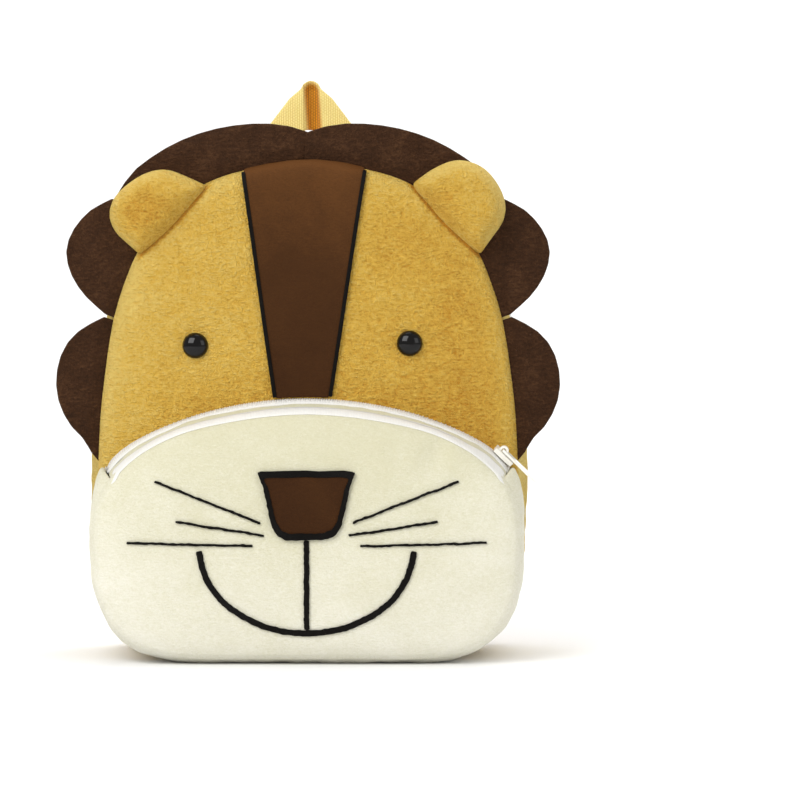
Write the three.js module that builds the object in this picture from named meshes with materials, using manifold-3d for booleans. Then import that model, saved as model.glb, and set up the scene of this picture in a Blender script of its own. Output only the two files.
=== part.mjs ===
// A toddler's plush backpack with a lion's face.
// Millimetres. The lion looks along -Y, +X is to the right of the face and the base rests at z = 0.
// A seam outline runs from the bottom centre up the right side, over the top and down the left.
import * as THREE from "three";
import { mergeVertices } from "three/addons/utils/BufferGeometryUtils.js";
import Module from "manifold-3d";

const wasm = await Module();
wasm.setup();

// Body
const bodyHeight = 260;
const faceHalfWidth = 107;
const bodyDepth = 74;
const plushWall = 3;
const seamGap = 0.3;
const bandBulge = 5.5;
const faceCrown = 8;
const backCrown = 5;
const crownCentreHeight = 128;
const mainZipWidth = 22;
const mainSliderLength = 12;
const mainSliderHeight = 3;

// Front pocket
const pocketHalfWidth = 110;
const pocketHeight = 131;
const pocketDepth = 27;
const pocketTopDepth = 22;
const pocketBulge = 4.5;
const pocketArchBulge = 1;
const pocketCrown = 6;
const pocketZipWall = 1.4;

// Zip slider and its pull
const sliderLength = 12;
const sliderWidth = 7;
const sliderHeight = 3;
const bridgeWidth = 1.6;
const bridgeBar = 1.1;
const pullLength = 29;
const pullWidth = 3.8;
const pullThickness = 1.2;
const pullClearance = 0.45;
const pullNotchDepth = 4;
const pullTipShare = 0.5;
const pullForkShare = 0.4;
const sliderWaistShare = 0.72;

// Mane and ears
const maneThickness = 2.6;
const maneEdge = 1.6;
const maneLean = 0.08;
const maneShares = [0, 0.5, 1];
const earDepth = 12;
const earEdge = 3;

// Face trim
const patchThickness = 1;
const stripeEdgeWidth = 2.6;
const stripeEdgeRise = 1;
const stripeEdgeDrop = 2;
const stripeShares = [0, 0.25, 0.5, 0.75, 1];
const eyeDiameter = 12.5;
const eyeHeight = 5.5;
const eyeRim = 1.1;
const noseTopShare = 0.767;
const noseHeightShare = 0.271;
const noseWidthShare = 0.232;
const noseOutlineWidth = 3.4;
const mouthLineWidth = 2.8;
const smileWidthShare = 0.5;
const smileTopShare = 0.454;
const smileDepthShare = 0.3245;
const smileWidth = 3.2;
const whiskerWidth = 1.3;
const threadThickness = 0.6;

// Handle
const webbingWidth = 25;
const webbingThickness = 1.8;
const handleRise = 41;
const handleSewnDepth = 14;
const handleFootGap = 6;
const handleApexWidth = 8.4;
const handleFoldWidth = 49;
const handleShoulderShare = 0.75;

// Shoulder straps
const strapTopDrop = 10;
const strapEndHeight = 46;
const strapWidth = 52;
const strapThickness = 11;
const strapTopSpread = 27;
const strapBottomSpread = 45;
const strapStand = 12;
const strapSidePower = 0.35;
const strapFacePower = 0.6;

// Buckles
const buckleWidth = 35;
const buckleHeight = 34;
const buckleThickness = 3.6;
const buckleBar = 7.5;
const buckleRail = 3.2;
const buckleMiddleBar = 3;
const buckleFootHeight = 1;
const buckleCorner = 4;
const buckleLipRise = 6;
const anchorHeight = 3.6;
const anchorTurn = 2.7;
const slotRoom = 1;

// The seam outline of the face and the back, as shares of faceHalfWidth and bodyHeight
const seamOutline = [
  { x: 0, z: 0.01 },
  { x: 0.33, z: 0.01 },
  { x: 0.62, z: 0.012 },
  { x: 0.82, z: 0.03 },
  { x: 0.945, z: 0.075 },
  { x: 1, z: 0.145 },
  { x: 1.015, z: 0.24 },
  { x: 1.02, z: 0.35 },
  { x: 1.012, z: 0.477 },
  { x: 0.985, z: 0.58 },
  { x: 0.945, z: 0.68 },
  { x: 0.888, z: 0.757 },
  { x: 0.805, z: 0.831 },
  { x: 0.66, z: 0.893 },
  { x: 0.505, z: 0.95 },
  { x: 0.29, z: 0.98 },
  { x: 0, z: 1 },
];
const bandSplitRow = 8;

// The pocket's front seam, as shares of pocketHalfWidth and pocketHeight, and where its band meets
// the face behind it, as shares of faceHalfWidth and pocketHeight
const pocketOutline = [
  { x: 0, z: 0.02, backX: 0, backZ: 0.034 },
  { x: 0.3, z: 0.02, backX: 0.308, backZ: 0.034 },
  { x: 0.57, z: 0.023, backX: 0.58, backZ: 0.038 },
  { x: 0.78, z: 0.06, backX: 0.79, backZ: 0.077 },
  { x: 0.91, z: 0.15, backX: 0.91, backZ: 0.165 },
  { x: 0.985, z: 0.29, backX: 0.966, backZ: 0.3 },
  { x: 1, z: 0.44, backX: 0.985, backZ: 0.458 },
  { x: 0.995, z: 0.58, backX: 0.99, backZ: 0.61 },
  { x: 0.955, z: 0.69, backX: 0.988, backZ: 0.718 },
  { x: 0.885, z: 0.765, backX: 0.962, backZ: 0.796 },
  { x: 0.78, z: 0.84, backX: 0.846, backZ: 0.873 },
  { x: 0.6, z: 0.917, backX: 0.636, backZ: 0.95 },
  { x: 0.39, z: 0.963, backX: 0.411, backZ: 1.008 },
  { x: 0.19, z: 0.99, backX: 0.2, backZ: 1.038 },
  { x: 0, z: 1, backX: 0, backZ: 1.048 },
];
const pocketArchRow = 8.5;
const pocketZipShare = 0.6;
const sliderRow = 9.15;

// Outer edges of the mane's lobes, as shares of faceHalfWidth and bodyHeight, and the rows of the
// seam outline between which each lobe is sewn in
const maneLobes = [
  {
    from: 15.95,
    to: 12.3,
    edge: [
      { x: 0.022, z: 1.052 },
      { x: 0.12, z: 1.066 },
      { x: 0.26, z: 1.0695 },
      { x: 0.44, z: 1.06 },
      { x: 0.605, z: 1.038 },
      { x: 0.745, z: 1.006 },
      { x: 0.85, z: 0.972 },
      { x: 0.928, z: 0.924 },
    ],
  },
  {
    from: 12.2,
    to: 10.05,
    edge: [
      { x: 0.945, z: 0.92 },
      { x: 1.06, z: 0.894 },
      { x: 1.145, z: 0.852 },
      { x: 1.172, z: 0.815 },
      { x: 1.15, z: 0.772 },
      { x: 1.085, z: 0.73 },
      { x: 0.985, z: 0.692 },
    ],
  },
  {
    from: 9.95,
    to: 7.3,
    edge: [
      { x: 0.99, z: 0.683 },
      { x: 1.11, z: 0.656 },
      { x: 1.185, z: 0.62 },
      { x: 1.222, z: 0.565 },
      { x: 1.21, z: 0.515 },
      { x: 1.155, z: 0.47 },
      { x: 1.075, z: 0.434 },
      { x: 1.034, z: 0.392 },
    ],
  },
];

// The buckle's lower lip, as shares of half of buckleWidth and of buckleLipRise
const buckleLip = [
  { x: 1, up: 1 },
  { x: 0.86, up: 0.6 },
  { x: 0.5, up: 0.12 },
  { x: 0, up: 0 },
];

// Outlines of the ears, as shares of faceHalfWidth and bodyHeight; the first and last rows lie on
// the seam, and the ears are not quite alike
const earOutline = [
  { leftX: 0.49, leftZ: 0.947, rightX: 0.52, rightZ: 0.955 },
  { leftX: 0.58, leftZ: 0.963, rightX: 0.61, rightZ: 0.98 },
  { leftX: 0.684, leftZ: 0.978, rightX: 0.724, rightZ: 0.997 },
  { leftX: 0.777, leftZ: 0.972, rightX: 0.841, rightZ: 0.984 },
  { leftX: 0.883, leftZ: 0.945, rightX: 0.916, rightZ: 0.951 },
  { leftX: 0.941, leftZ: 0.918, rightX: 0.955, rightZ: 0.913 },
  { leftX: 0.959, leftZ: 0.887, rightX: 0.952, rightZ: 0.885 },
  { leftX: 0.93, leftZ: 0.855, rightX: 0.934, rightZ: 0.868 },
  { leftX: 0.872, leftZ: 0.832, rightX: 0.885, rightZ: 0.84 },
  { leftX: 0.812, leftZ: 0.81, rightX: 0.848, rightZ: 0.815 },
];

// Where the forehead stripe's edges stand, as shares of faceHalfWidth
const stripeSides = { left: { top: -0.311, bottom: -0.159 }, right: { top: 0.276, bottom: 0.112 } };

// Eye centres, as shares of faceHalfWidth and bodyHeight
const eyePlaces = {
  left: { x: -0.542, z: 0.629 },
  right: { x: 0.493, z: 0.6335 },
};

// Half of the nose's outline, as shares of its half width and of its height below its top
const noseOutline = [
  { x: 1, down: 0 },
  { x: 0.88, down: 0.22 },
  { x: 0.78, down: 0.55 },
  { x: 0.7, down: 0.8 },
  { x: 0.58, down: 0.94 },
  { x: 0.4, down: 1 },
];

// Half of the smile, as shares of its half width and of its depth below its top
const smileCurve = [
  { x: 1, down: 0 },
  { x: 0.96, down: 0.25 },
  { x: 0.83, down: 0.55 },
  { x: 0.64, down: 0.76 },
  { x: 0.35, down: 0.935 },
  { x: 0, down: 1 },
];

// Whiskers, as shares of pocketHalfWidth and pocketHeight, from the nose outwards
const whiskers = [
  { nearX: 0.215, nearZ: 0.563, farX: 0.708, farZ: 0.723 },
  { nearX: 0.197, nearZ: 0.514, farX: 0.61, farZ: 0.567 },
  { nearX: 0.25, nearZ: 0.473, farX: 0.838, farZ: 0.483 },
];

// A shoulder strap from its sewn top down, as shares of its length, strapStand, strapWidth and
// strapThickness
const strapStations = [
  { down: 0, stand: 0, width: 0.97, thick: 0.45 },
  { down: 0.02, stand: 0, width: 1, thick: 0.7 },
  { down: 0.1, stand: 0.25, width: 1, thick: 1 },
  { down: 0.22, stand: 0.62, width: 1, thick: 1 },
  { down: 0.36, stand: 0.92, width: 1, thick: 1 },
  { down: 0.5, stand: 1, width: 1, thick: 1 },
  { down: 0.64, stand: 0.95, width: 1, thick: 1 },
  { down: 0.78, stand: 0.85, width: 1, thick: 1 },
  { down: 0.9, stand: 0.74, width: 1, thick: 1 },
  { down: 0.96, stand: 0.7, width: 0.96, thick: 0.9 },
  { down: 0.988, stand: 0.68, width: 0.86, thick: 0.72 },
  { down: 1, stand: 0.67, width: 0.7, thick: 0.5 },
];

// Resolution
const outlineSteps = 2;
const frontRings = [0.4, 0.7, 0.88, 0.97, 1];
const backRings = [0.5, 0.8, 0.95, 1];
const padRings = [0.4, 0.72, 0.9, 1];
const noseRings = [0.5, 1];
const maneSteps = 12;
const earSteps = 18;
const stripeRows = 14;
const stripeColumns = 5;
const bridgeSteps = 8;
const mergeTolerance = 1e-4;
const bandAcross = 5;
const sectionSides = 16;
const eyeRings = 5;
const lineStep = 7;

const handleTopHeight = bodyHeight + handleRise;
const handleFootHeight = bodyHeight - handleSewnDepth;
const strapTopHeight = bodyHeight - strapTopDrop;
const strapLength = strapTopHeight - strapEndHeight;
const noseTopHeight = pocketHeight * noseTopShare;
const noseHeight = pocketHeight * noseHeightShare;
const noseHalfWidth = pocketHalfWidth * noseWidthShare;
const smileHalfWidth = pocketHalfWidth * smileWidthShare;
const smileTopHeight = pocketHeight * smileTopShare;
const smileDepth = pocketHeight * smileDepthShare;
const frontSeam = -bodyDepth / 2;
const backSeam = bodyDepth / 2;
const faceSkin = frontSeam - plushWall;
const backSkin = backSeam + plushWall;
const crownCentre = new THREE.Vector3(0, 0, crownCentreHeight);
const pocketCentre = new THREE.Vector3(0, 0, pocketHeight / 2);

const bag = new THREE.Group();

// Materials

function material(color, roughness) {
  return new THREE.MeshStandardMaterial({ color, roughness, metalness: 0 });
}

const finishes = {
  yellowPlush: material(0xdcae50, 0.95),
  paleYellowPlush: material(0xe6c46e, 0.95),
  creamPlush: material(0xf3edd2, 0.95),
  brownPlush: material(0x55301a, 0.95),
  manePlush: material(0x45291b, 0.95),
  strapPlush: material(0x8f5c45, 0.95),
  blackThread: material(0x17140f, 0.7),
  webbing: material(0xdfb04a, 0.8),
  whitePlastic: material(0xeceae2, 0.45),
  zipTape: material(0xf1ece0, 0.8),
  beigePlastic: material(0xcdbd96, 0.5),
  eyePlastic: material(0x1c1714, 0.08),
};

function addPiece(name, geometry, finish, parent = bag) {
  const mesh = new THREE.Mesh(geometry, finishes[finish]);
  mesh.name = name;
  parent.add(mesh);
  return mesh;
}

// Solids

function closedGeometry(points, faces) {
  let volume = 0;
  for (let i = 0; i < faces.length; i += 3) {
    const [a, b, c] = [points[faces[i]], points[faces[i + 1]], points[faces[i + 2]]];
    volume += a.dot(new THREE.Vector3().crossVectors(b, c));
  }
  const outward = volume < 0 ? [...faces].reverse() : faces;
  const geometry = new THREE.BufferGeometry();
  geometry.setFromPoints(points);
  geometry.setIndex(outward);
  geometry.computeVertexNormals();
  return geometry;
}

// A wall between an outer and an inner grid of points, closed along its edges
function wallSolid(outer, inner, isLoop = false) {
  const along = outer.length;
  const across = outer[0].length;
  const points = [...outer.flat(), ...inner.flat()];
  const at = (side, i, j) => side * along * across + (i % along) * across + j;
  const faces = [];
  const quad = (a, b, c, d) => faces.push(a, b, c, a, c, d);
  const lastAcross = across - 1;
  const spans = isLoop ? along : along - 1;
  for (let i = 0; i < spans; i++) {
    for (let j = 0; j < lastAcross; j++) {
      quad(at(0, i, j), at(0, i + 1, j), at(0, i + 1, j + 1), at(0, i, j + 1));
      quad(at(1, i, j), at(1, i, j + 1), at(1, i + 1, j + 1), at(1, i + 1, j));
    }
    quad(at(0, i, 0), at(1, i, 0), at(1, i + 1, 0), at(0, i + 1, 0));
    quad(
      at(0, i, lastAcross),
      at(0, i + 1, lastAcross),
      at(1, i + 1, lastAcross),
      at(1, i, lastAcross),
    );
  }
  if (!isLoop) {
    const end = along - 1;
    for (let j = 0; j < lastAcross; j++) {
      quad(at(0, 0, j), at(0, 0, j + 1), at(1, 0, j + 1), at(1, 0, j));
      quad(at(0, end, j), at(1, end, j), at(1, end, j + 1), at(0, end, j + 1));
    }
  }
  return closedGeometry(points, faces);
}

// A disc between two skins, each a centre point and the rings round it
function discSolid(front, back) {
  const around = front.rings[0].length;
  const points = [];
  const faces = [];
  const skins = [front, back].map((skin) => {
    const centre = points.push(skin.centre) - 1;
    const rings = skin.rings.map((ring) => ring.map((point) => points.push(point) - 1));
    return { centre, rings };
  });
  const quad = (a, b, c, d) => faces.push(a, b, c, a, c, d);
  const [frontSkin, rearSkin] = skins;
  const rim = front.rings.length - 1;
  for (let i = 0; i < around; i++) {
    const next = (i + 1) % around;
    faces.push(frontSkin.centre, frontSkin.rings[0][i], frontSkin.rings[0][next]);
    faces.push(rearSkin.centre, rearSkin.rings[0][next], rearSkin.rings[0][i]);
    for (let j = 0; j < rim; j++) {
      const near = frontSkin.rings[j];
      const far = frontSkin.rings[j + 1];
      quad(near[i], far[i], far[next], near[next]);
      const nearBack = rearSkin.rings[j];
      const farBack = rearSkin.rings[j + 1];
      quad(nearBack[i], nearBack[next], farBack[next], farBack[i]);
    }
    const edge = frontSkin.rings[rim];
    const edgeBack = rearSkin.rings[rim];
    quad(edge[i], edgeBack[i], edgeBack[next], edge[next]);
  }
  return closedGeometry(points, faces);
}

// A body lofted through closed sections of equal length, with a fan at each end
function loftSolid(sections) {
  const around = sections[0].length;
  const points = sections.flat();
  const faces = [];
  for (let i = 0; i < sections.length - 1; i++) {
    for (let j = 0; j < around; j++) {
      const next = (j + 1) % around;
      const a = i * around + j;
      const b = (i + 1) * around + j;
      const c = (i + 1) * around + next;
      const d = i * around + next;
      faces.push(a, b, c, a, c, d);
    }
  }
  for (const [end, turn] of [
    [0, 1],
    [sections.length - 1, -1],
  ]) {
    const middle = new THREE.Vector3();
    sections[end].forEach((point) => middle.addScaledVector(point, 1 / around));
    const centre = points.push(middle) - 1;
    for (let j = 0; j < around; j++) {
      const a = end * around + j;
      const b = end * around + ((j + 1) % around);
      faces.push(centre, turn > 0 ? a : b, turn > 0 ? b : a);
    }
  }
  return closedGeometry(points, faces);
}

function mergedCopy(geometry) {
  const bare = geometry.clone();
  bare.deleteAttribute("normal");
  bare.deleteAttribute("uv");
  return mergeVertices(bare, mergeTolerance);
}

function manifoldOf(geometry) {
  const merged = mergedCopy(geometry);
  return new wasm.Manifold(
    new wasm.Mesh({
      numProp: 3,
      vertProperties: new Float32Array(merged.attributes.position.array),
      triVerts: new Uint32Array(merged.index.array),
    }),
  );
}

function geometryOf(solid) {
  const mesh = solid.getMesh();
  const geometry = new THREE.BufferGeometry();
  geometry.setAttribute("position", new THREE.BufferAttribute(mesh.vertProperties, 3));
  geometry.setIndex(new THREE.BufferAttribute(mesh.triVerts, 1));
  geometry.computeVertexNormals();
  return geometry;
}

function joined(...geometries) {
  return geometryOf(geometries.map(manifoldOf).reduce((all, next) => all.add(next)));
}

// A flat plate whose outline is drawn in X and Z, from y = near to y = far
function plateInFront(shape, near, far) {
  const geometry = new THREE.ExtrudeGeometry(shape, { depth: far - near, bevelEnabled: false });
  geometry.rotateX(Math.PI / 2);
  geometry.translate(0, far, 0);
  return geometry;
}

function shapeOf(corners) {
  return new THREE.Shape(corners.map(([x, y]) => new THREE.Vector2(x, y)));
}

// A strip of webbing whose side view is a line of [y, z] points, centred on x
function webbingStrip(line, x, thickness) {
  const path = line.map(([y, z]) => new THREE.Vector2(y, z));
  const half = thickness / 2;
  const shifted = (side) =>
    path.map((point, i) => {
      const before = path[Math.max(i - 1, 0)];
      const after = path[Math.min(i + 1, path.length - 1)];
      const into = point.clone().sub(before).normalize();
      const out = after.clone().sub(point).normalize();
      const along = into.clone().add(out).normalize();
      const bend = into.lengthSq() > 0 && out.lengthSq() > 0 ? along.dot(into) : 1;
      const normal = new THREE.Vector2(-along.y, along.x);
      return point.clone().addScaledVector(normal, (side * half) / bend);
    });
  const shape = new THREE.Shape([...shifted(1), ...shifted(-1).reverse()]);
  const geometry = new THREE.ExtrudeGeometry(shape, { depth: webbingWidth, bevelEnabled: false });
  geometry.applyMatrix4(
    new THREE.Matrix4().makeBasis(
      new THREE.Vector3(0, 1, 0),
      new THREE.Vector3(0, 0, 1),
      new THREE.Vector3(1, 0, 0),
    ),
  );
  geometry.translate(x - webbingWidth / 2, 0, 0);
  return geometry;
}

// Outlines

function bothSides(half) {
  const left = half
    .slice(1, -1)
    .reverse()
    .map((point) => new THREE.Vector3(-point.x, point.y, point.z));
  return [...half, ...left];
}

function smoothLoop(controls) {
  const curve = new THREE.CatmullRomCurve3(controls, true, "centripetal");
  const count = Math.round(controls.length * outlineSteps);
  return Array.from({ length: count }, (_, i) => curve.getPoint(i / count));
}

function smoothLine(controls, count) {
  const curve = new THREE.CatmullRomCurve3(controls, false, "centripetal");
  return curve.getSpacedPoints(count);
}

function outwardNormals(loop) {
  return loop.map((_, i) => {
    const before = loop[(i + loop.length - 1) % loop.length];
    const after = loop[(i + 1) % loop.length];
    const along = after.clone().sub(before);
    return new THREE.Vector3(along.z, 0, -along.x).normalize();
  });
}

// How far out a point lies, from 0 at an outline's centre to 1 on the outline
function shareOut(loop, centre, x, z) {
  const reach = Math.hypot(x - centre.x, z - centre.z);
  if (reach < seamGap) return 0;
  const ux = (x - centre.x) / reach;
  const uz = (z - centre.z) / reach;
  for (let i = 0; i < loop.length; i++) {
    const a = loop[i];
    const b = loop[(i + 1) % loop.length];
    const det = ux * (a.z - b.z) - uz * (a.x - b.x);
    const far = ((a.x - centre.x) * (a.z - b.z) - (a.z - centre.z) * (a.x - b.x)) / det;
    const along = (ux * (a.z - centre.z) - uz * (a.x - centre.x)) / det;
    if (far > 0 && along >= 0 && along <= 1) return Math.min(reach / far, 1);
  }
  return 1;
}

function puff(share) {
  return 1 - share ** 4;
}

const seamLoop = smoothLoop(
  bothSides(
    seamOutline.map((row) => new THREE.Vector3(row.x * faceHalfWidth, 0, row.z * bodyHeight)),
  ),
);
const seamNormals = outwardNormals(seamLoop);

const pocketLoop = smoothLoop(
  bothSides(
    pocketOutline.map((row) => new THREE.Vector3(row.x * pocketHalfWidth, 0, row.z * pocketHeight)),
  ),
);
const pocketBackLoop = smoothLoop(
  bothSides(
    pocketOutline.map(
      (row) => new THREE.Vector3(row.backX * faceHalfWidth, 0, row.backZ * pocketHeight),
    ),
  ),
);
const pocketNormals = outwardNormals(pocketLoop);

// The front skins' places along Y

function faceAt(x, z) {
  return faceSkin - faceCrown * puff(shareOut(seamLoop, crownCentre, x, z));
}

function backAt(x, z) {
  return backSkin + backCrown * puff(shareOut(seamLoop, crownCentre, x, z));
}

function pocketSeamAt(z) {
  const lean = THREE.MathUtils.smoothstep(z, pocketHeight / 2, pocketHeight);
  return faceSkin - THREE.MathUtils.lerp(pocketDepth, pocketTopDepth, lean);
}

function pocketAt(x, z) {
  const crown = pocketCrown * puff(shareOut(pocketLoop, pocketCentre, x, z));
  return pocketSeamAt(z) - plushWall - crown;
}

// Panels

function crownedPanel(loop, centre, skinAt, thickness, rings) {
  const skin = (shift) => ({
    centre: new THREE.Vector3(centre.x, skinAt(centre.x, centre.z) + shift, centre.z),
    rings: rings.map((share) =>
      loop.map((edge) => {
        const point = centre.clone().lerp(edge, share);
        return point.setY(skinAt(point.x, point.z) + shift);
      }),
    ),
  });
  return discSolid(skin(0), skin(thickness));
}

addPiece(
  "face_panel",
  crownedPanel(seamLoop, crownCentre, faceAt, plushWall, frontRings),
  "yellowPlush",
);
addPiece(
  "back_panel",
  crownedPanel(seamLoop, crownCentre, backAt, -plushWall, backRings),
  "yellowPlush",
);
addPiece(
  "pocket_front",
  crownedPanel(pocketLoop, pocketCentre, pocketAt, plushWall, frontRings),
  "creamPlush",
);

// Bands of the body

function bodyPoint(index, share, inset) {
  const i = (index + seamLoop.length) % seamLoop.length;
  const bulge = bandBulge * Math.sin(Math.PI * share) - inset;
  const point = seamLoop[i].clone().addScaledVector(seamNormals[i], bulge);
  const y = THREE.MathUtils.lerp(frontSeam + seamGap, backSeam - seamGap, share);
  return new THREE.Vector3(point.x, y, Math.max(point.z, inset));
}

// A stretch of the band between two rows of the outline and two shares of its depth
function bodyBand(fromIndex, toIndex, fromShare, toShare, thickness, across) {
  const grid = (inset) => {
    const rows = [];
    for (let i = fromIndex; i <= toIndex; i++) {
      const row = [];
      for (let j = 0; j <= across; j++) {
        row.push(bodyPoint(i, THREE.MathUtils.lerp(fromShare, toShare, j / across), inset));
      }
      rows.push(row);
    }
    closeUp(rows);
    return rows;
  };
  return wallSolid(grid(0), grid(thickness));
}

// Draws the two end rows of a grid in by half a seam gap
function closeUp(rows) {
  const last = rows.length - 1;
  for (const [end, inward] of [
    [0, 1],
    [last, last - 1],
  ]) {
    rows[end].forEach((point, j) => {
      const along = rows[inward][j].clone().sub(point).normalize();
      point.addScaledVector(along, seamGap / 2);
    });
  }
}

const splitIndex = Math.round(bandSplitRow * outlineSteps);
const zipShare = mainZipWidth / bodyDepth / 2;
const gapShare = seamGap / bodyDepth;

addPiece(
  "base_band",
  bodyBand(-splitIndex, splitIndex, 0, 1, plushWall, bandAcross + 1),
  "paleYellowPlush",
);
const topEnd = seamLoop.length - splitIndex;
addPiece(
  "top_band_front",
  bodyBand(splitIndex, topEnd, 0, 0.5 - zipShare, plushWall, 2),
  "paleYellowPlush",
);
addPiece(
  "top_band_back",
  bodyBand(splitIndex, topEnd, 0.5 + zipShare, 1, plushWall, 2),
  "paleYellowPlush",
);
addPiece(
  "main_zip",
  bodyBand(
    splitIndex,
    topEnd,
    0.5 - zipShare + gapShare,
    0.5 + zipShare - gapShare,
    pocketZipWall,
    2,
  ),
  "zipTape",
);

function mainSlider() {
  const sit = bodyPoint(splitIndex + 1, 0.5, 0);
  const up = seamNormals[splitIndex + 1];
  const along = bodyPoint(splitIndex + 2, 0.5, 0).sub(bodyPoint(splitIndex, 0.5, 0)).normalize();
  const across = new THREE.Vector3().crossVectors(along, up);
  const box = new THREE.BoxGeometry(sliderWidth, mainSliderLength, mainSliderHeight);
  box.translate(0, 0, mainSliderHeight / 2 + seamGap);
  box.applyMatrix4(new THREE.Matrix4().makeBasis(across, along, up).setPosition(sit));
  return box;
}

addPiece("main_zip_slider", mainSlider(), "whitePlastic");

// Bands of the pocket

function pocketPoint(index, share, inset, bulge) {
  const i = (index + pocketLoop.length) % pocketLoop.length;
  const back = pocketBackLoop[i].clone().addScaledVector(pocketNormals[i], -inset);
  const front = pocketLoop[i].clone().addScaledVector(pocketNormals[i], -inset);
  back.y = Math.min(faceAt(back.x, back.z), faceAt(pocketBackLoop[i].x, pocketBackLoop[i].z));
  back.y -= seamGap;
  front.y = pocketSeamAt(pocketLoop[i].z) + seamGap;
  const point = back.lerp(front, share);
  point.addScaledVector(pocketNormals[i], bulge * Math.sin(Math.PI * share));
  point.z = Math.max(point.z, inset);
  return point;
}

function pocketBand(fromIndex, toIndex, fromShare, toShare, thickness, bulge, across) {
  const grid = (inset) => {
    const rows = [];
    for (let i = fromIndex; i <= toIndex; i++) {
      const row = [];
      for (let j = 0; j <= across; j++) {
        const share = THREE.MathUtils.lerp(fromShare, toShare, j / across);
        row.push(pocketPoint(i, share, inset, bulge));
      }
      rows.push(row);
    }
    closeUp(rows);
    return rows;
  };
  return wallSolid(grid(0), grid(thickness));
}

const archIndex = Math.round(pocketArchRow * outlineSteps);
const archEnd = pocketLoop.length - archIndex;
const zipGapShare = seamGap / pocketTopDepth;

addPiece(
  "pocket_band",
  pocketBand(-archIndex, archIndex, 0, 1, plushWall, pocketBulge, bandAcross - 1),
  "creamPlush",
);
addPiece(
  "pocket_zip",
  pocketBand(archIndex, archEnd, 0, pocketZipShare, pocketZipWall, pocketArchBulge, 2),
  "zipTape",
);
addPiece(
  "pocket_top_band",
  pocketBand(archIndex, archEnd, pocketZipShare + 2 * zipGapShare, 1, plushWall, pocketArchBulge, 1),
  "creamPlush",
);

// Mane

// A point of the seam outline at a row that need not be whole, moved outwards
function seamPoint(row, outwards) {
  const place = row * outlineSteps;
  const i = Math.floor(place);
  const share = place - i;
  const next = (i + 1) % seamLoop.length;
  const normal = seamNormals[i].clone().lerp(seamNormals[next], share).normalize();
  return seamLoop[i].clone().lerp(seamLoop[next], share).addScaledVector(normal, outwards);
}

function maneLobe(lobe, side) {
  const controls = lobe.edge.map(
    (row) => new THREE.Vector3(row.x * faceHalfWidth, 0, row.z * bodyHeight),
  );
  const outerEdge = smoothLine(controls, maneSteps);
  const front = [];
  const back = [];
  for (let i = 0; i <= maneSteps; i++) {
    const row = THREE.MathUtils.lerp(lobe.from, lobe.to, i / maneSteps);
    const root = seamPoint(row, 2 * seamGap);
    const frontRow = [];
    const backRow = [];
    for (const share of maneShares) {
      const point = root.clone().lerp(outerEdge[i], share);
      const rearward = point.distanceTo(root) * maneLean;
      const thickness = THREE.MathUtils.lerp(maneThickness, maneEdge, share);
      const backY = frontSeam - seamGap + rearward;
      frontRow.push(new THREE.Vector3(side * point.x, backY - thickness, point.z));
      backRow.push(new THREE.Vector3(side * point.x, backY, point.z));
    }
    front.push(frontRow);
    back.push(backRow);
  }
  return wallSolid(front, back);
}

maneLobes.forEach((lobe, i) => {
  addPiece(`mane_left_${i + 1}`, maneLobe(lobe, -1), "manePlush");
  addPiece(`mane_right_${i + 1}`, maneLobe(lobe, 1), "manePlush");
});

// Ears

function ear(side) {
  const key = side < 0 ? "left" : "right";
  const corners = earOutline.map(
    (row) =>
      new THREE.Vector3(
        side * row[`${key}X`] * faceHalfWidth,
        0,
        row[`${key}Z`] * bodyHeight,
      ),
  );
  const arc = smoothLine(corners, earSteps);
  const foot = corners[corners.length - 1].clone().lerp(corners[0], 0.5);
  const loop = [...arc, foot];
  const centre = new THREE.Vector3();
  loop.forEach((point) => centre.addScaledVector(point, 1 / loop.length));
  const seatAt = (point) => faceAt(point.x, point.z) - 2 * seamGap;
  const place = (point, rise) => point.setY(seatAt(point) - rise);
  const skin = (riseAt) => ({
    centre: place(centre.clone(), riseAt(0)),
    rings: padRings.map((share) =>
      loop.map((edge) => place(centre.clone().lerp(edge, share), riseAt(share))),
    ),
  });
  const domeAt = (share) => THREE.MathUtils.lerp(earEdge, earDepth, puff(share));
  return discSolid(
    skin(domeAt),
    skin(() => 0),
  );
}

addPiece("ear_left", ear(-1), "yellowPlush");
addPiece("ear_right", ear(1), "yellowPlush");

// Trim that lies on a skin

// A ribbon along a line of points in X and Z, lying on a skin
function ribbonOn(skinAt, line, width, thickness) {
  const lengths = line.slice(1).map((point, i) => point.distanceTo(line[i]));
  const total = lengths.reduce((sum, length) => sum + length, 0);
  const points = smoothLine(line, Math.max(Math.ceil(total / lineStep), 2));
  const over = [];
  const under = [];
  points.forEach((point, i) => {
    const before = points[Math.max(i - 1, 0)];
    const after = points[Math.min(i + 1, points.length - 1)];
    const along = after.clone().sub(before).normalize();
    const sideways = new THREE.Vector3(along.z, 0, -along.x);
    const edges = [-1, 1].map((side) => point.clone().addScaledVector(sideways, (side * width) / 2));
    over.push(edges.map((edge) => liftedOff(skinAt, edge, seamGap + thickness)));
    under.push(edges.map((edge) => liftedOff(skinAt, edge, seamGap)));
  });
  return wallSolid(over, under);
}

function liftedOff(skinAt, point, lift) {
  return new THREE.Vector3(point.x, skinAt(point.x, point.z) - lift, point.z);
}

function onFace(x, z) {
  return new THREE.Vector3(x, 0, z);
}

// The height of a loop's upper edge above the floor at x
function topOf(loop, x) {
  let top = 0;
  loop.forEach((a, i) => {
    const b = loop[(i + 1) % loop.length];
    const spans = (a.x - x) * (b.x - x) <= 0 && a.x !== b.x;
    if (spans) top = Math.max(top, THREE.MathUtils.lerp(a.z, b.z, (x - a.x) / (b.x - a.x)));
  });
  return top;
}

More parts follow.
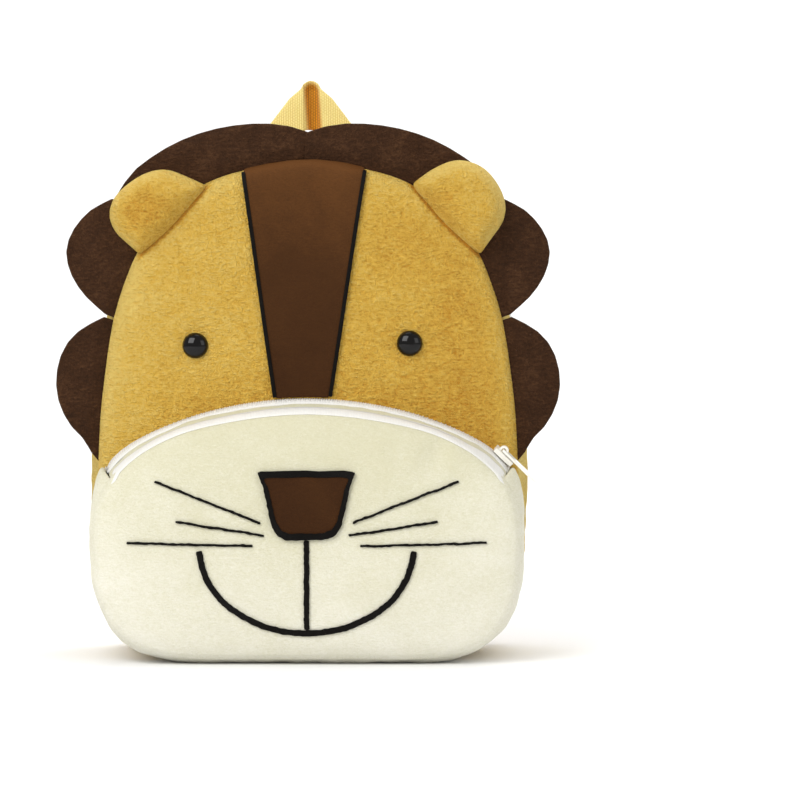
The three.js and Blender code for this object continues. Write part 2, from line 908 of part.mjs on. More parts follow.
function stripeSide(side, share) {
  const { top, bottom } = stripeSides[side];
  return THREE.MathUtils.lerp(bottom, top, share) * faceHalfWidth;
}

// The stripe runs from the pocket's zip to the top seam
function stripePoint(across, share) {
  const inset = stripeEdgeWidth / 2 + seamGap;
  const left = stripeSide("left", share) + inset;
  const right = stripeSide("right", share) - inset;
  const x = THREE.MathUtils.lerp(left, right, across);
  return onFace(x, stripeHeight(x, share));
}

function stripeHeight(x, share) {
  const low = topOf(pocketBackLoop, x) + seamGap * 2;
  const high = topOf(seamLoop, x) - seamGap * 2;
  return THREE.MathUtils.lerp(low, high, share);
}

function foreheadStripe() {
  const grid = (lift) =>
    Array.from({ length: stripeRows + 1 }, (_, i) =>
      Array.from({ length: stripeColumns + 1 }, (_, j) =>
        liftedOff(faceAt, stripePoint(j / stripeColumns, i / stripeRows), lift),
      ),
    );
  return wallSolid(grid(seamGap + patchThickness), grid(seamGap));
}

function stripeEdge(side) {
  const line = stripeShares.map((share) => {
    const x = stripeSide(side, share);
    const highest = topOf(seamLoop, x) - stripeEdgeDrop;
    return onFace(x, Math.min(stripeHeight(x, share), highest));
  });
  line[0].z += stripeEdgeRise;
  return ribbonOn(faceAt, line, stripeEdgeWidth, patchThickness);
}

addPiece("forehead_stripe", foreheadStripe(), "brownPlush");
addPiece("stripe_edge_left", stripeEdge("left"), "blackThread");
addPiece("stripe_edge_right", stripeEdge("right"), "blackThread");

// Eyes

function eye(side) {
  const x = eyePlaces[side].x * faceHalfWidth;
  const z = eyePlaces[side].z * bodyHeight;
  const radius = eyeDiameter / 2;
  const around = [
    [0, 0],
    [radius, 0],
    [-radius, 0],
    [0, radius],
    [0, -radius],
  ];
  const seat = Math.min(...around.map(([dx, dz]) => faceAt(x + dx, z + dz))) - seamGap;
  const profile = [new THREE.Vector2(0, 0), new THREE.Vector2(radius - eyeRim / 2, 0)];
  for (let i = 0; i <= eyeRings; i++) {
    const angle = (i / eyeRings) * (Math.PI / 2);
    const rise = THREE.MathUtils.lerp(eyeRim, eyeHeight, Math.sin(angle));
    profile.push(new THREE.Vector2(i === eyeRings ? 0 : radius * Math.cos(angle), rise));
  }
  const dome = new THREE.LatheGeometry(profile, sectionSides);
  dome.scale(1, -1, 1);
  dome.translate(x, seat, z);
  return closedFrom(dome);
}

// Merges a surface's doubled points and turns its faces outwards
function closedFrom(geometry) {
  const merged = mergedCopy(geometry);
  const positions = merged.attributes.position;
  const points = Array.from({ length: positions.count }, (_, i) =>
    new THREE.Vector3().fromBufferAttribute(positions, i),
  );
  const faces = [];
  const index = merged.index.array;
  for (let i = 0; i < index.length; i += 3) {
    const [a, b, c] = [index[i], index[i + 1], index[i + 2]];
    if (a !== b && b !== c && c !== a) faces.push(a, b, c);
  }
  return closedGeometry(points, faces);
}

addPiece("eye_left", eye("left"), "eyePlastic");
addPiece("eye_right", eye("right"), "eyePlastic");

// Nose, mouth and whiskers

function nosePoints(shrink) {
  const half = noseOutline.map((row) =>
    onFace(
      row.x * (noseHalfWidth - shrink),
      noseTopHeight - shrink - row.down * (noseHeight - 2 * shrink),
    ),
  );
  const left = [...half].reverse().map((point) => onFace(-point.x, point.z));
  return [...half, ...left];
}

function noseMiddle() {
  return onFace(0, noseTopHeight - noseHeight / 2);
}

function nosePatch() {
  const loop = nosePoints(noseOutlineWidth + seamGap);
  const centre = noseMiddle();
  const skin = (lift) => ({
    centre: liftedOff(pocketAt, centre, lift),
    rings: noseRings.map((share) =>
      loop.map((edge) => liftedOff(pocketAt, centre.clone().lerp(edge, share), lift)),
    ),
  });
  return discSolid(skin(seamGap + patchThickness), skin(seamGap));
}

function noseBorder() {
  const outer = nosePoints(0);
  const inner = nosePoints(noseOutlineWidth);
  const grid = (lift) =>
    outer.map((point, i) => [
      liftedOff(pocketAt, point, lift),
      liftedOff(pocketAt, inner[i], lift),
    ]);
  return wallSolid(grid(seamGap + patchThickness), grid(seamGap), true);
}

function smileLine() {
  const half = smileCurve.map((row) =>
    onFace(row.x * smileHalfWidth, smileTopHeight - row.down * smileDepth),
  );
  const left = half.slice(0, -1).map((point) => onFace(-point.x, point.z));
  return [...left, ...[...half].reverse()];
}

addPiece("nose_patch", nosePatch(), "brownPlush");
addPiece("nose_outline", noseBorder(), "blackThread");
addPiece(
  "smile_line",
  ribbonOn(pocketAt, smileLine(), smileWidth, threadThickness),
  "blackThread",
);
const mouthTop = noseTopHeight - noseHeight - seamGap;
const mouthBottom = smileTopHeight - smileDepth + smileWidth / 2 + seamGap;
addPiece(
  "mouth_line",
  ribbonOn(
    pocketAt,
    [onFace(0, mouthTop), onFace(0, mouthBottom)],
    mouthLineWidth,
    threadThickness,
  ),
  "blackThread",
);
for (const [name, side] of [
  ["left", -1],
  ["right", 1],
]) {
  whiskers.forEach((row, i) => {
    const line = [
      onFace(side * row.nearX * pocketHalfWidth, row.nearZ * pocketHeight),
      onFace(side * row.farX * pocketHalfWidth, row.farZ * pocketHeight),
    ];
    const whisker = ribbonOn(pocketAt, line, whiskerWidth, threadThickness);
    addPiece(`whisker_${name}_${i + 1}`, whisker, "blackThread");
  });
}

// Pocket zip's slider and pull, drawn lying on the zip: X across it, Y down it and Z away from it

const bridgeHole = pullThickness * Math.SQRT1_2 + pullClearance;
const bridgeRadius = bridgeHole + bridgeBar;
const hingeHeight = sliderHeight + pullThickness / 2 + pullClearance;

function zipFrame() {
  const place = sliderRow * outlineSteps;
  const i = Math.floor(place);
  const share = pocketZipShare / 2;
  const here = pocketPoint(i, share, 0, pocketArchBulge);
  const next = pocketPoint(i + 1, share, 0, pocketArchBulge);
  const sit = here.clone().lerp(next, place - i);
  const down = here.clone().sub(next).normalize();
  const forward = pocketPoint(i, pocketZipShare, 0, pocketArchBulge)
    .sub(pocketPoint(i, 0, 0, pocketArchBulge))
    .normalize();
  const away = new THREE.Vector3().crossVectors(forward, down).normalize();
  const across = new THREE.Vector3().crossVectors(down, away);
  return new THREE.Matrix4().makeBasis(across, down, away).setPosition(sit);
}

function sliderBody() {
  const end = sliderLength / 2;
  const half = sliderWidth / 2;
  const waist = half * sliderWaistShare;
  const shape = shapeOf([
    [-half, -end],
    [half, -end],
    [half, 0],
    [waist, end],
    [-waist, end],
    [-half, 0],
  ]);
  const plate = new THREE.ExtrudeGeometry(shape, {
    depth: sliderHeight - 2 * seamGap,
    bevelEnabled: false,
  });
  plate.translate(0, 0, 2 * seamGap);
  const arch = new THREE.Shape();
  const footZ = sliderHeight - seamGap - hingeHeight;
  arch.moveTo(bridgeRadius, footZ);
  arch.lineTo(bridgeRadius, 0);
  arch.absarc(0, 0, bridgeRadius, 0, Math.PI, false);
  arch.lineTo(-bridgeRadius, footZ);
  arch.lineTo(-bridgeHole, footZ);
  arch.lineTo(-bridgeHole, 0);
  arch.absarc(0, 0, bridgeHole, Math.PI, 0, true);
  arch.lineTo(bridgeHole, footZ);
  const bridge = new THREE.ExtrudeGeometry(arch, {
    depth: bridgeWidth,
    bevelEnabled: false,
    curveSegments: bridgeSteps,
  });
  bridge.applyMatrix4(
    new THREE.Matrix4().makeBasis(
      new THREE.Vector3(0, 1, 0),
      new THREE.Vector3(0, 0, 1),
      new THREE.Vector3(1, 0, 0),
    ),
  );
  bridge.translate(-bridgeWidth / 2, hingeOffset(), hingeHeight);
  return joined(plate, bridge);
}

// The pull hangs from the bridge a little above the slider's middle
function hingeOffset() {
  return -sliderLength / 6;
}

function pullTab() {
  const half = pullWidth / 2;
  const eyeHalf = bridgeWidth / 2 + pullClearance;
  const crossbar = pullThickness / 2;
  const eyeEnd = bridgeRadius + pullClearance;
  const shape = shapeOf([
    [-half, -crossbar],
    [half, -crossbar],
    [half, pullLength],
    [half * pullTipShare, pullLength],
    [0, pullLength - pullNotchDepth],
    [-half * pullTipShare, pullLength - pullNotchDepth * pullForkShare],
    [-half, pullLength - pullNotchDepth * pullForkShare],
  ]);
  shape.holes.push(
    new THREE.Path([
      new THREE.Vector2(-eyeHalf, crossbar),
      new THREE.Vector2(-eyeHalf, eyeEnd),
      new THREE.Vector2(eyeHalf, eyeEnd),
      new THREE.Vector2(eyeHalf, crossbar),
    ]),
  );
  const tab = new THREE.ExtrudeGeometry(shape, { depth: pullThickness, bevelEnabled: false });
  tab.translate(0, 0, -pullThickness / 2);
  return tab;
}

const sliderGroup = new THREE.Group();
sliderGroup.applyMatrix4(zipFrame());
bag.add(sliderGroup);
addPiece("pocket_zip_slider", sliderBody(), "whitePlastic", sliderGroup);
const pull = addPiece("pocket_zip_pull", pullTab(), "whitePlastic", sliderGroup);
pull.position.set(0, hingeOffset(), hingeHeight);

// Handle

function handle() {
  const foot = handleFootGap / 2;
  const apex = handleApexWidth / 2;
  const fold = handleFoldWidth / 2;
  const outer = foot + webbingWidth;
  const foldHeight = handleTopHeight - webbingWidth;
  const round = webbingWidth / 3;
  const leg = (side) => {
    const corners = [
      [foot, handleFootHeight],
      [outer, handleFootHeight],
      [outer + seamGap, foldHeight - round],
      [THREE.MathUtils.lerp(fold, outer, handleShoulderShare), foldHeight - round / 3],
      [fold, foldHeight],
      [apex, handleTopHeight],
    ].map(([x, z]) => [side * x, z]);
    return shapeOf(side > 0 ? corners : corners.reverse());
  };
  const across = shapeOf([
    [-fold, foldHeight],
    [fold, foldHeight],
    [apex, handleTopHeight],
    [-apex, handleTopHeight],
  ]);
  const near = backAt(foot, handleFootHeight) + seamGap;
  const middle = near + webbingThickness;
  const far = middle + webbingThickness;
  return joined(
    plateInFront(leg(1), near, middle),
    plateInFront(leg(-1), near, middle),
    plateInFront(across, middle - seamGap / 2, far),
  );
}

addPiece("handle", handle(), "webbing");

// Shoulder straps

function strapStation(row, side) {
  const spread = THREE.MathUtils.lerp(strapTopSpread, strapBottomSpread, row.down);
  const z = strapTopHeight - row.down * strapLength;
  const thickness = row.thick * strapThickness;
  const inner = spread - strapWidth / 2;
  const sewnHeight = Math.min(z, handleFootHeight);
  const under = Math.max(backAt(inner, sewnHeight), backAt(spread, sewnHeight));
  const clear = webbingThickness + 3 * seamGap + row.stand * strapStand;
  return {
    centre: new THREE.Vector3(side * spread, under + clear + thickness / 2, z),
    halfWidth: (row.width * strapWidth) / 2,
    halfThickness: thickness / 2,
  };
}

// A flattened oval across the strap
function strapSection(station) {
  return Array.from({ length: sectionSides }, (_, i) => {
    const angle = (i / sectionSides) * 2 * Math.PI;
    const c = Math.cos(angle);
    const s = Math.sin(angle);
    const flat = (value, power) => Math.sign(value) * Math.abs(value) ** power;
    return station.centre
      .clone()
      .add(
        new THREE.Vector3(
          flat(c, strapSidePower) * station.halfWidth,
          flat(s, strapFacePower) * station.halfThickness,
          0,
        ),
      );
  });
}

function strapPad(side) {
  return loftSolid(strapStations.map((row) => strapSection(strapStation(row, side))));
}

const strapEnd = strapStation(strapStations[strapStations.length - 1], 1).centre;
const buckleBack = strapEnd.y + webbingThickness / 2 + seamGap;
const buckleTop = buckleFootHeight + buckleHeight;
const windowTop = buckleTop - buckleBar;
const windowBottom = buckleFootHeight + buckleBar;
const middleBarHeight = (windowTop + windowBottom) / 2;
const middleBarBack = buckleBack + seamGap;
const middleBarFront = buckleBack + buckleThickness / 2;

function buckle(side) {
  const half = buckleWidth / 2;
  const edge = [
    [half - buckleCorner, buckleTop],
    [half, buckleTop - buckleCorner],
    ...buckleLip.map((row) => [row.x * half, buckleFootHeight + row.up * buckleLipRise]),
  ];
  const otherEdge = edge.slice(0, -1).map(([x, z]) => [-x, z]);
  const frame = shapeOf([...edge, ...otherEdge.reverse()]);
  const windowHalf = half - buckleRail;
  frame.holes.push(
    new THREE.Path([
      new THREE.Vector2(-windowHalf, windowBottom),
      new THREE.Vector2(windowHalf, windowBottom),
      new THREE.Vector2(windowHalf, windowTop),
      new THREE.Vector2(-windowHalf, windowTop),
    ]),
  );
  const rails = plateInFront(frame, buckleBack, buckleBack + buckleThickness);
  const bar = new THREE.BoxGeometry(
    2 * windowHalf + buckleRail,
    middleBarFront - middleBarBack,
    buckleMiddleBar,
  );
  bar.translate(0, (middleBarFront + middleBarBack) / 2, middleBarHeight);
  const whole = joined(rails, bar);
  whole.translate(side * strapBottomSpread, 0, 0);
  return whole;
}

// The webbing passes behind the buckle's bars and in front of its middle bar
const behindBars = strapEnd.y;
const overMiddleBar = middleBarFront + seamGap + webbingThickness / 2;
const slotTurn = buckleMiddleBar / 2 + slotRoom;

function strapTail(side) {
  const line = [
    [behindBars, strapEnd.z - seamGap],
    [behindBars, windowTop - slotRoom],
    [overMiddleBar, middleBarHeight + slotTurn],
    [overMiddleBar, middleBarHeight + seamGap / 2],
  ];
  return webbingStrip(line, side * strapBottomSpread, webbingThickness);
}

function strapAnchor(side) {
  const rest = backAt(strapBottomSpread, anchorHeight) + seamGap;
  const line = [
    [overMiddleBar, middleBarHeight - seamGap / 2],
    [overMiddleBar, middleBarHeight - slotTurn],
    [behindBars, windowBottom + slotRoom],
    [behindBars, anchorHeight + anchorTurn],
    [behindBars - anchorTurn, anchorHeight],
    [rest, anchorHeight],
  ];
  return webbingStrip(line, side * strapBottomSpread, webbingThickness);
}

for (const [name, side] of [
  ["left", -1],
  ["right", 1],
]) {
  addPiece(`strap_${name}`, strapPad(side), "strapPlush");
  addPiece(`strap_tail_${name}`, strapTail(side), "webbing");
  addPiece(`strap_anchor_${name}`, strapAnchor(side), "webbing");
  addPiece(`buckle_${name}`, buckle(side), "beigePlastic");
}

// The origin is the middle of the whole bag's box at the height of its base
const box = new THREE.Box3().setFromObject(bag);
const middle = box.getCenter(new THREE.Vector3());
bag.position.set(-middle.x, -middle.y, -box.min.z);

const backpack = new THREE.Group();
backpack.add(bag);

export default backpack;
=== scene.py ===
# A plush lion backpack for a toddler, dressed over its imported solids.
import math

import bmesh
import bpy
import numpy as np
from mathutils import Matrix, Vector, geometry
from mathutils.bvhtree import BVHTree
from mathutils.kdtree import KDTree


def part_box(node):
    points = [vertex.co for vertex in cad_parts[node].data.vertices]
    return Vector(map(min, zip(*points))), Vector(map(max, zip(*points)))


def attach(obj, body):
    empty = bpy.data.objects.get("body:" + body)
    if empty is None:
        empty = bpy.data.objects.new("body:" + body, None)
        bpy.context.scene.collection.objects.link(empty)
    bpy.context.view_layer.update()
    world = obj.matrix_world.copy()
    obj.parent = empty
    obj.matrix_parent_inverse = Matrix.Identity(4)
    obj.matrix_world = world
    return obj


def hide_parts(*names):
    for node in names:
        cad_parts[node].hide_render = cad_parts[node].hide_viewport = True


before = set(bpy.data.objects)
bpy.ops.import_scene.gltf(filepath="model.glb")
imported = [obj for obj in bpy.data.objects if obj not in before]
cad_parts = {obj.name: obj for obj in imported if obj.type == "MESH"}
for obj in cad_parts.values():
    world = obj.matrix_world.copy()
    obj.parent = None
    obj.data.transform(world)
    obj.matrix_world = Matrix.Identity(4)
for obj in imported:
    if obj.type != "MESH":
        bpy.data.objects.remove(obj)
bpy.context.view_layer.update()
mm = 0.001
sides = ("left", "right")


def report(stage):
    print("stage:", stage)


def linked(name, mesh):
    piece = bpy.data.objects.new(name, mesh)
    bpy.context.scene.collection.objects.link(piece)
    return piece


# A new piece from a shape under construction
def pieceFrom(name, shape):
    mesh = bpy.data.meshes.new(name)
    shape.to_mesh(mesh)
    shape.free()
    return linked(name, mesh)


def shadeSmooth(piece):
    mesh = piece.data
    mesh.polygons.foreach_set("use_smooth", [True] * len(mesh.polygons))
    mesh.update()


def placesOf(piece):
    mesh = piece.data
    flat = np.empty(len(mesh.vertices) * 3, np.float64)
    mesh.vertices.foreach_get("co", flat)
    return flat.reshape(-1, 3)


def normalsOf(piece):
    mesh = piece.data
    flat = np.empty(len(mesh.vertices) * 3, np.float32)
    mesh.vertex_normals.foreach_get("vector", flat)
    return flat.reshape(-1, 3).astype(np.float64)


def movePlaces(piece, places):
    piece.data.vertices.foreach_set("co", places.astype(np.float32).ravel())
    piece.data.update()


# Places seen from the front, without their depth
def flattened(places):
    return places * np.array([1, 0, 1])


# Soft waves of one size, from -1 to 1, the same on every run
def softWaves(places, size, seed):
    rng = np.random.default_rng(seed)
    total = np.zeros(len(places))
    count = 14
    for _ in range(count):
        way = rng.normal(size=3)
        way /= np.linalg.norm(way)
        length = size * rng.uniform(0.7, 1.5)
        total += np.sin(places @ way * (2 * math.pi / length) + rng.uniform(0, 6.3))
    return np.clip(total / math.sqrt(count), -1.6, 1.6) / 1.6


def storeValues(piece, name, values):
    layer = piece.data.attributes.new(name, "FLOAT", "POINT")
    layer.data.foreach_set("value", values.astype(np.float32))


# A copy of a solid as a smooth surface; plain cuts first keep its corners tighter
def softCopy(name, node, levels, plain=1):
    shape = bmesh.new()
    shape.from_mesh(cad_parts[node].data)
    bmesh.ops.remove_doubles(shape, verts=shape.verts, dist=0.002 * mm)
    bmesh.ops.join_triangles(
        shape,
        faces=shape.faces,
        angle_face_threshold=math.radians(48),
        angle_shape_threshold=math.radians(180),
    )
    piece = pieceFrom(name, shape)
    for label, kind, count in (("cuts", "SIMPLE", plain), ("smoother", "CATMULL_CLARK", levels - plain)):
        if count:
            cut = piece.modifiers.new(label, "SUBSURF")
            cut.subdivision_type = kind
            cut.levels = cut.render_levels = count
    return applied(piece)


# A copy of a solid rebuilt from even cells and relaxed
def evenCopy(name, node, cell, relax):
    piece = linked(name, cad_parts[node].data.copy())
    remesh = piece.modifiers.new("cells", "REMESH")
    remesh.mode = "VOXEL"
    remesh.voxel_size = cell
    smooth = piece.modifiers.new("relax", "SMOOTH")
    smooth.factor = 0.5
    smooth.iterations = relax
    return applied(piece)


# The piece with its modifiers made part of its mesh
def applied(piece):
    graph = bpy.context.evaluated_depsgraph_get()
    mesh = bpy.data.meshes.new_from_object(piece.evaluated_get(graph))
    old = piece.data
    piece.modifiers.clear()
    piece.data = mesh
    mesh.name = piece.name
    bpy.data.meshes.remove(old)
    shadeSmooth(piece)
    return piece


def subdivided(piece, levels):
    smoother = piece.modifiers.new("smoother", "SUBSURF")
    smoother.levels = smoother.render_levels = levels
    return applied(piece)


padding = {"pressure": 4.0, "frames": 20, "quality": 5, "stiffness": 18.0, "bending": 0.6, "mass": 0.25}


# The piece blown up as closed cloth; no point moves farther than the cap, held points stay
def blownUp(piece, cap, held):
    start = placesOf(piece)
    pins = piece.vertex_groups.new(name="held")
    for k in np.nonzero(held > 0.01)[0]:
        pins.add([int(k)], float(held[k]), "REPLACE")
    cloth = piece.modifiers.new("padding", "CLOTH")
    cloth.settings.vertex_group_mass = "held"
    cloth.settings.quality = padding["quality"]
    cloth.settings.mass = padding["mass"]
    cloth.settings.tension_stiffness = cloth.settings.compression_stiffness = padding["stiffness"]
    cloth.settings.bending_stiffness = padding["bending"]
    cloth.settings.use_pressure = True
    cloth.settings.uniform_pressure_force = padding["pressure"]
    cloth.settings.effector_weights.gravity = 0
    cloth.collision_settings.use_collision = False
    cloth.point_cache.frame_start = 1
    cloth.point_cache.frame_end = padding["frames"]
    for step in range(1, padding["frames"] + 1):
        bpy.context.scene.frame_set(step)
    piece = applied(piece)
    bpy.context.scene.frame_set(1)
    piece.vertex_groups.clear()
    moves = placesOf(piece) - start
    far = np.linalg.norm(moves, axis=1)
    movePlaces(piece, start + moves * np.minimum(1, cap / np.maximum(far, 1e-9))[:, None])
    print("padding:", piece.name, len(start), "points, farthest move mm", round(float(far.max() * 1000), 2))
    return piece


def dressed(piece, material, nodes=(), body="bag"):
    piece.data.materials.clear()
    piece.data.materials.append(material)
    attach(piece, body)
    if nodes:
        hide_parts(*nodes)
    return piece


# One tree for rays that meet any of the pieces
def treeOf(*pieces):
    shape = bmesh.new()
    for piece in pieces:
        shape.from_mesh(piece.data)
    tree = BVHTree.FromBMesh(shape)
    shape.free()
    return tree


# The outline of a panel whose rings share their directions from its centre
def outlineOf(node, centreHeight):
    farthest = {}
    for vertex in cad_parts[node].data.vertices:
        x, y, z = vertex.co
        reach = math.hypot(x, z - centreHeight)
        if reach < 0.02:
            continue
        key = round(math.atan2(z - centreHeight, x), 3)
        if key not in farthest or reach > farthest[key][0] + 1e-6:
            farthest[key] = (reach, x, z)
    return np.array([farthest[key][1:] for key in sorted(farthest)])


# A closed line through points, with more points between them
def closedLine(points, between):
    count = len(points)
    made = []
    for i in range(count):
        a, b, c, d = (points[(i + step) % count] for step in (-1, 0, 1, 2))
        for j in range(between):
            t = j / between
            made.append(
                0.5
                * (
                    2 * b
                    + (c - a) * t
                    + (2 * a - 5 * b + 4 * c - d) * t * t
                    + (3 * b - a - 3 * c + d) * t**3
                )
            )
    return np.array(made)


# Distances in X and Z from an outline, positive inside it
class Outline:
    def __init__(self, node, centreHeight):
        self.line = closedLine(outlineOf(node, centreHeight), 16)
        self.tree = KDTree(len(self.line))
        for i, (x, z) in enumerate(self.line):
            self.tree.insert((x, 0, z), i)
        self.tree.balance()
        ahead = np.roll(self.line, -1, axis=0) - np.roll(self.line, 1, axis=0)
        ahead /= np.linalg.norm(ahead, axis=1)[:, None]
        self.normals = np.stack([ahead[:, 1], -ahead[:, 0]], axis=1)
        middle = self.line.mean(axis=0)
        if ((self.line - middle) * self.normals).sum() < 0:
            self.normals = -self.normals

    def inward(self, places):
        return np.array([-self.normals[self.tree.find((x, 0, z))[1]] for x, _, z in places])

    def depths(self, places):
        depths = np.empty(len(places))
        for k, (x, _, z) in enumerate(places):
            _, i, _ = self.tree.find((x, 0, z))
            px, pz = self.line[i]
            nx, nz = self.normals[i]
            depths[k] = -((x - px) * nx + (z - pz) * nz)
        return depths


# The edges of the hull of a piece seen from the front, as starts, unit ways and lengths
def hullEdges(places):
    flat = [(x, z) for x, _, z in places]
    hull = np.array([flat[k] for k in geometry.convex_hull_2d(flat)])
    ways = np.roll(hull, -1, axis=0) - hull
    lengths = np.linalg.norm(ways, axis=1)
    kept = lengths > 1e-6
    return hull[kept], ways[kept] / lengths[kept, None], lengths[kept]


# How far places lie from one edge of a hull
def offEdge(places, start, way):
    return np.abs(way[0] * (places[:, 2] - start[1]) - way[1] * (places[:, 0] - start[0]))


# How far places lie inside the hull of them all
def insideHull(places):
    starts, ways, _ = hullEdges(places)
    return np.min([offEdge(places, start, way) for start, way in zip(starts, ways)], axis=0)


# Adds shader nodes to one tree and links them
class Nodes:
    def __init__(self, tree):
        self.tree = tree

    def add(self, kind, **inputs):
        node = self.tree.nodes.new(kind)
        settings = inputs.pop("settings", {})
        for key, value in settings.items():
            setattr(node, key, value)
        for key, value in inputs.items():
            self.put(node.inputs[key.replace("_", " ")], value)
        return node

    def put(self, socket, value):
        if isinstance(value, bpy.types.NodeSocket):
            self.tree.links.new(value, socket)
        else:
            socket.default_value = value

    def math(self, operation, a, b=0.0, c=0.0):
        node = self.tree.nodes.new("ShaderNodeMath")
        node.operation = operation
        for socket, value in zip(node.inputs, (a, b, c)):
            self.put(socket, value)
        return node.outputs[0]

    def plus(self, a, b):
        return self.math("ADD", a, b)

    def times(self, a, b):
        return self.math("MULTIPLY", a, b)

    # The place on the piece, in metres and in millimetres
    def places(self):
        place = self.add("ShaderNodeTexCoord").outputs["Object"]
        return place, self.stretched(place, (1000, 1000, 1000))

    # A value kept with the points of the mesh
    def stored(self, name):
        return self.add("ShaderNodeAttribute", settings={"attribute_name": name}).outputs["Fac"]

    def noise(self, place, scale, detail=2.0, roughness=0.5, distortion=0.0):
        node = self.add(
            "ShaderNodeTexNoise",
            Vector=place,
            Scale=scale,
            Detail=detail,
            Roughness=roughness,
            Distortion=distortion,
        )
        return node.outputs[0]

    def stretched(self, place, scale):
        node = self.add("ShaderNodeMapping", Vector=place, Scale=scale)
        return node.outputs[0]

    def mix(self, share, a, b):
        node = self.tree.nodes.new("ShaderNodeMix")
        node.data_type = "RGBA"
        self.put(node.inputs[0], share)
        self.put(node.inputs[6], a)
        self.put(node.inputs[7], b)
        return node.outputs[2]

    def ramp(self, value, low, high, start=0.0, end=1.0):
        node = self.add(
            "ShaderNodeMapRange",
            Value=value,
            From_Min=low,
            From_Max=high,
            To_Min=start,
            To_Max=end,
        )
        return node.outputs[0]


def group(name, inputs, outputs):
    tree = bpy.data.node_groups.new(name, "ShaderNodeTree")
    for label, kind, value in inputs:
        socket = tree.interface.new_socket(name=label, in_out="INPUT", socket_type=kind)
        socket.default_value = value
    for label, kind in outputs:
        tree.interface.new_socket(name=label, in_out="OUTPUT", socket_type=kind)
    ins = tree.nodes.new("NodeGroupInput")
    outs = tree.nodes.new("NodeGroupOutput")
    return Nodes(tree), ins.outputs, outs.inputs


number = "NodeSocketFloat"
colour = "NodeSocketColor"
vector = "NodeSocketVector"


# Short plush pile: brushed patches, fine ripples across and single tufts, plus painted light and shade from
# the stored tone
def plushPile():
    n, ins, outs = group(
        "plushPile",
        [
            ("Deep", colour, (0.5, 0.3, 0.1, 1)),
            ("Middle", colour, (0.7, 0.5, 0.2, 1)),
            ("Light", colour, (0.9, 0.7, 0.4, 1)),
            ("Tuft Size", number, 1.15),
            ("Ripple Size", number, 1.25),
            ("Patch Size", number, 30.0),
            ("Patches", number, 0.2),
            ("Ripples", number, 0.42),
            ("Tufts", number, 0.3),
        ],
        [("Color", colour), ("Roughness", number), ("Height", number)],
    )
    place, inMm = n.places()
    patch = n.noise(inMm, n.math("DIVIDE", 1.0, ins["Patch Size"]), 3.0, 0.55, 0.6)
    bent = n.add("ShaderNodeVectorMath", settings={"operation": "ADD"})
    n.put(bent.inputs[0], n.stretched(place, (400, 400, 1050)))
    wander = n.add("ShaderNodeTexNoise", Vector=inMm, Scale=0.09, Detail=1.0).outputs["Color"]
    swing = n.add("ShaderNodeVectorMath", settings={"operation": "SCALE"}, Scale=3.0)
    n.put(swing.inputs[0], wander)
    n.put(bent.inputs[1], swing.outputs[0])
    ripple = n.noise(bent.outputs[0], n.math("DIVIDE", 1.0, ins["Ripple Size"]), 2.0, 0.6)
    tuft = n.noise(inMm, n.math("DIVIDE", 1.0, ins["Tuft Size"]), 2.0, 0.7)
    brushed = n.ramp(patch, 0.32, 0.68, -1.0, 1.0)
    rippled = n.ramp(ripple, 0.3, 0.7, -1.0, 1.0)
    tufted = n.ramp(tuft, 0.3, 0.7, -1.0, 1.0)
    # The stored tone holds painted light and shade on most pieces, and the nose patch's own darker brown
    stored = n.stored("tone")
    fine = n.plus(
        n.times(rippled, ins["Ripples"]),
        n.times(tufted, ins["Tufts"]),
    )
    tone = n.plus(
        n.plus(n.times(brushed, ins["Patches"]), stored),
        fine,
    )
    dark = n.ramp(tone, -1.0, 0.0, 0.0, 1.0)
    bright = n.ramp(tone, 0.0, 1.0, 0.0, 1.0)
    shade = n.mix(bright, n.mix(dark, ins["Deep"], ins["Middle"]), ins["Light"])
    n.put(outs["Color"], shade)
    n.put(outs["Roughness"], n.ramp(tone, -1.0, 1.0, 0.95, 0.78))
    n.put(
        outs["Height"],
        n.plus(
            n.times(rippled, 0.42),
            n.plus(n.times(tufted, 0.5), n.times(brushed, 0.15)),
        ),
    )
    return n.tree


# Woven webbing: ribs that run up it and picks that cross them
def webbingWeave():
    n, ins, outs = group(
        "webbingWeave",
        [
            ("Thread", colour, (0.8, 0.6, 0.2, 1)),
            ("Valley", colour, (0.5, 0.35, 0.1, 1)),
            ("Inner", colour, (0.5, 0.3, 0.05, 1)),
            ("Rib Width", number, 1.9),
            ("Pick Length", number, 1.3),
        ],
        [("Color", colour), ("Roughness", number), ("Height", number)],
    )
    _, inMm = n.places()
    parts = n.add("ShaderNodeSeparateXYZ", Vector=inMm)
    across = n.math("DIVIDE", parts.outputs["X"], ins["Rib Width"])
    rib = n.math("ABSOLUTE", n.math("SINE", n.times(across, math.pi)))
    odd = n.times(n.math("FLOOR", across), 0.5)
    run = n.plus(n.math("DIVIDE", parts.outputs["Z"], ins["Pick Length"]), odd)
    pick = n.math("ABSOLUTE", n.math("SINE", n.times(run, math.pi)))
    fuzz = n.noise(inMm, 2.2, 2.0, 0.7)
    worn = n.noise(inMm, 0.12, 2.0, 0.5)
    height = n.times(
        n.math("POWER", rib, 0.6), n.plus(n.times(pick, 0.55), 0.45)
    )
    lit = n.plus(
        n.times(height, 0.75),
        n.plus(n.times(fuzz, 0.25), n.times(worn, 0.25)),
    )
    # Where the stored inner is set, a darker orange is mixed in: painted shade inside the handle's fold, and
    # the same colour on the back of its legs
    inner = n.stored("inner")
    outer = n.mix(n.ramp(lit, 0.15, 1.0), ins["Valley"], ins["Thread"])
    shaded = n.mix(n.ramp(lit, 0.15, 1.0, 0.75, 0.0), ins["Inner"], (0.1, 0.05, 0.01, 1))
    n.put(outs["Color"], n.mix(inner, outer, shaded))
    n.put(outs["Roughness"], n.ramp(fuzz, 0.2, 0.8, 0.62, 0.85))
    n.put(outs["Height"], n.plus(height, n.times(fuzz, 0.3)))
    return n.tree


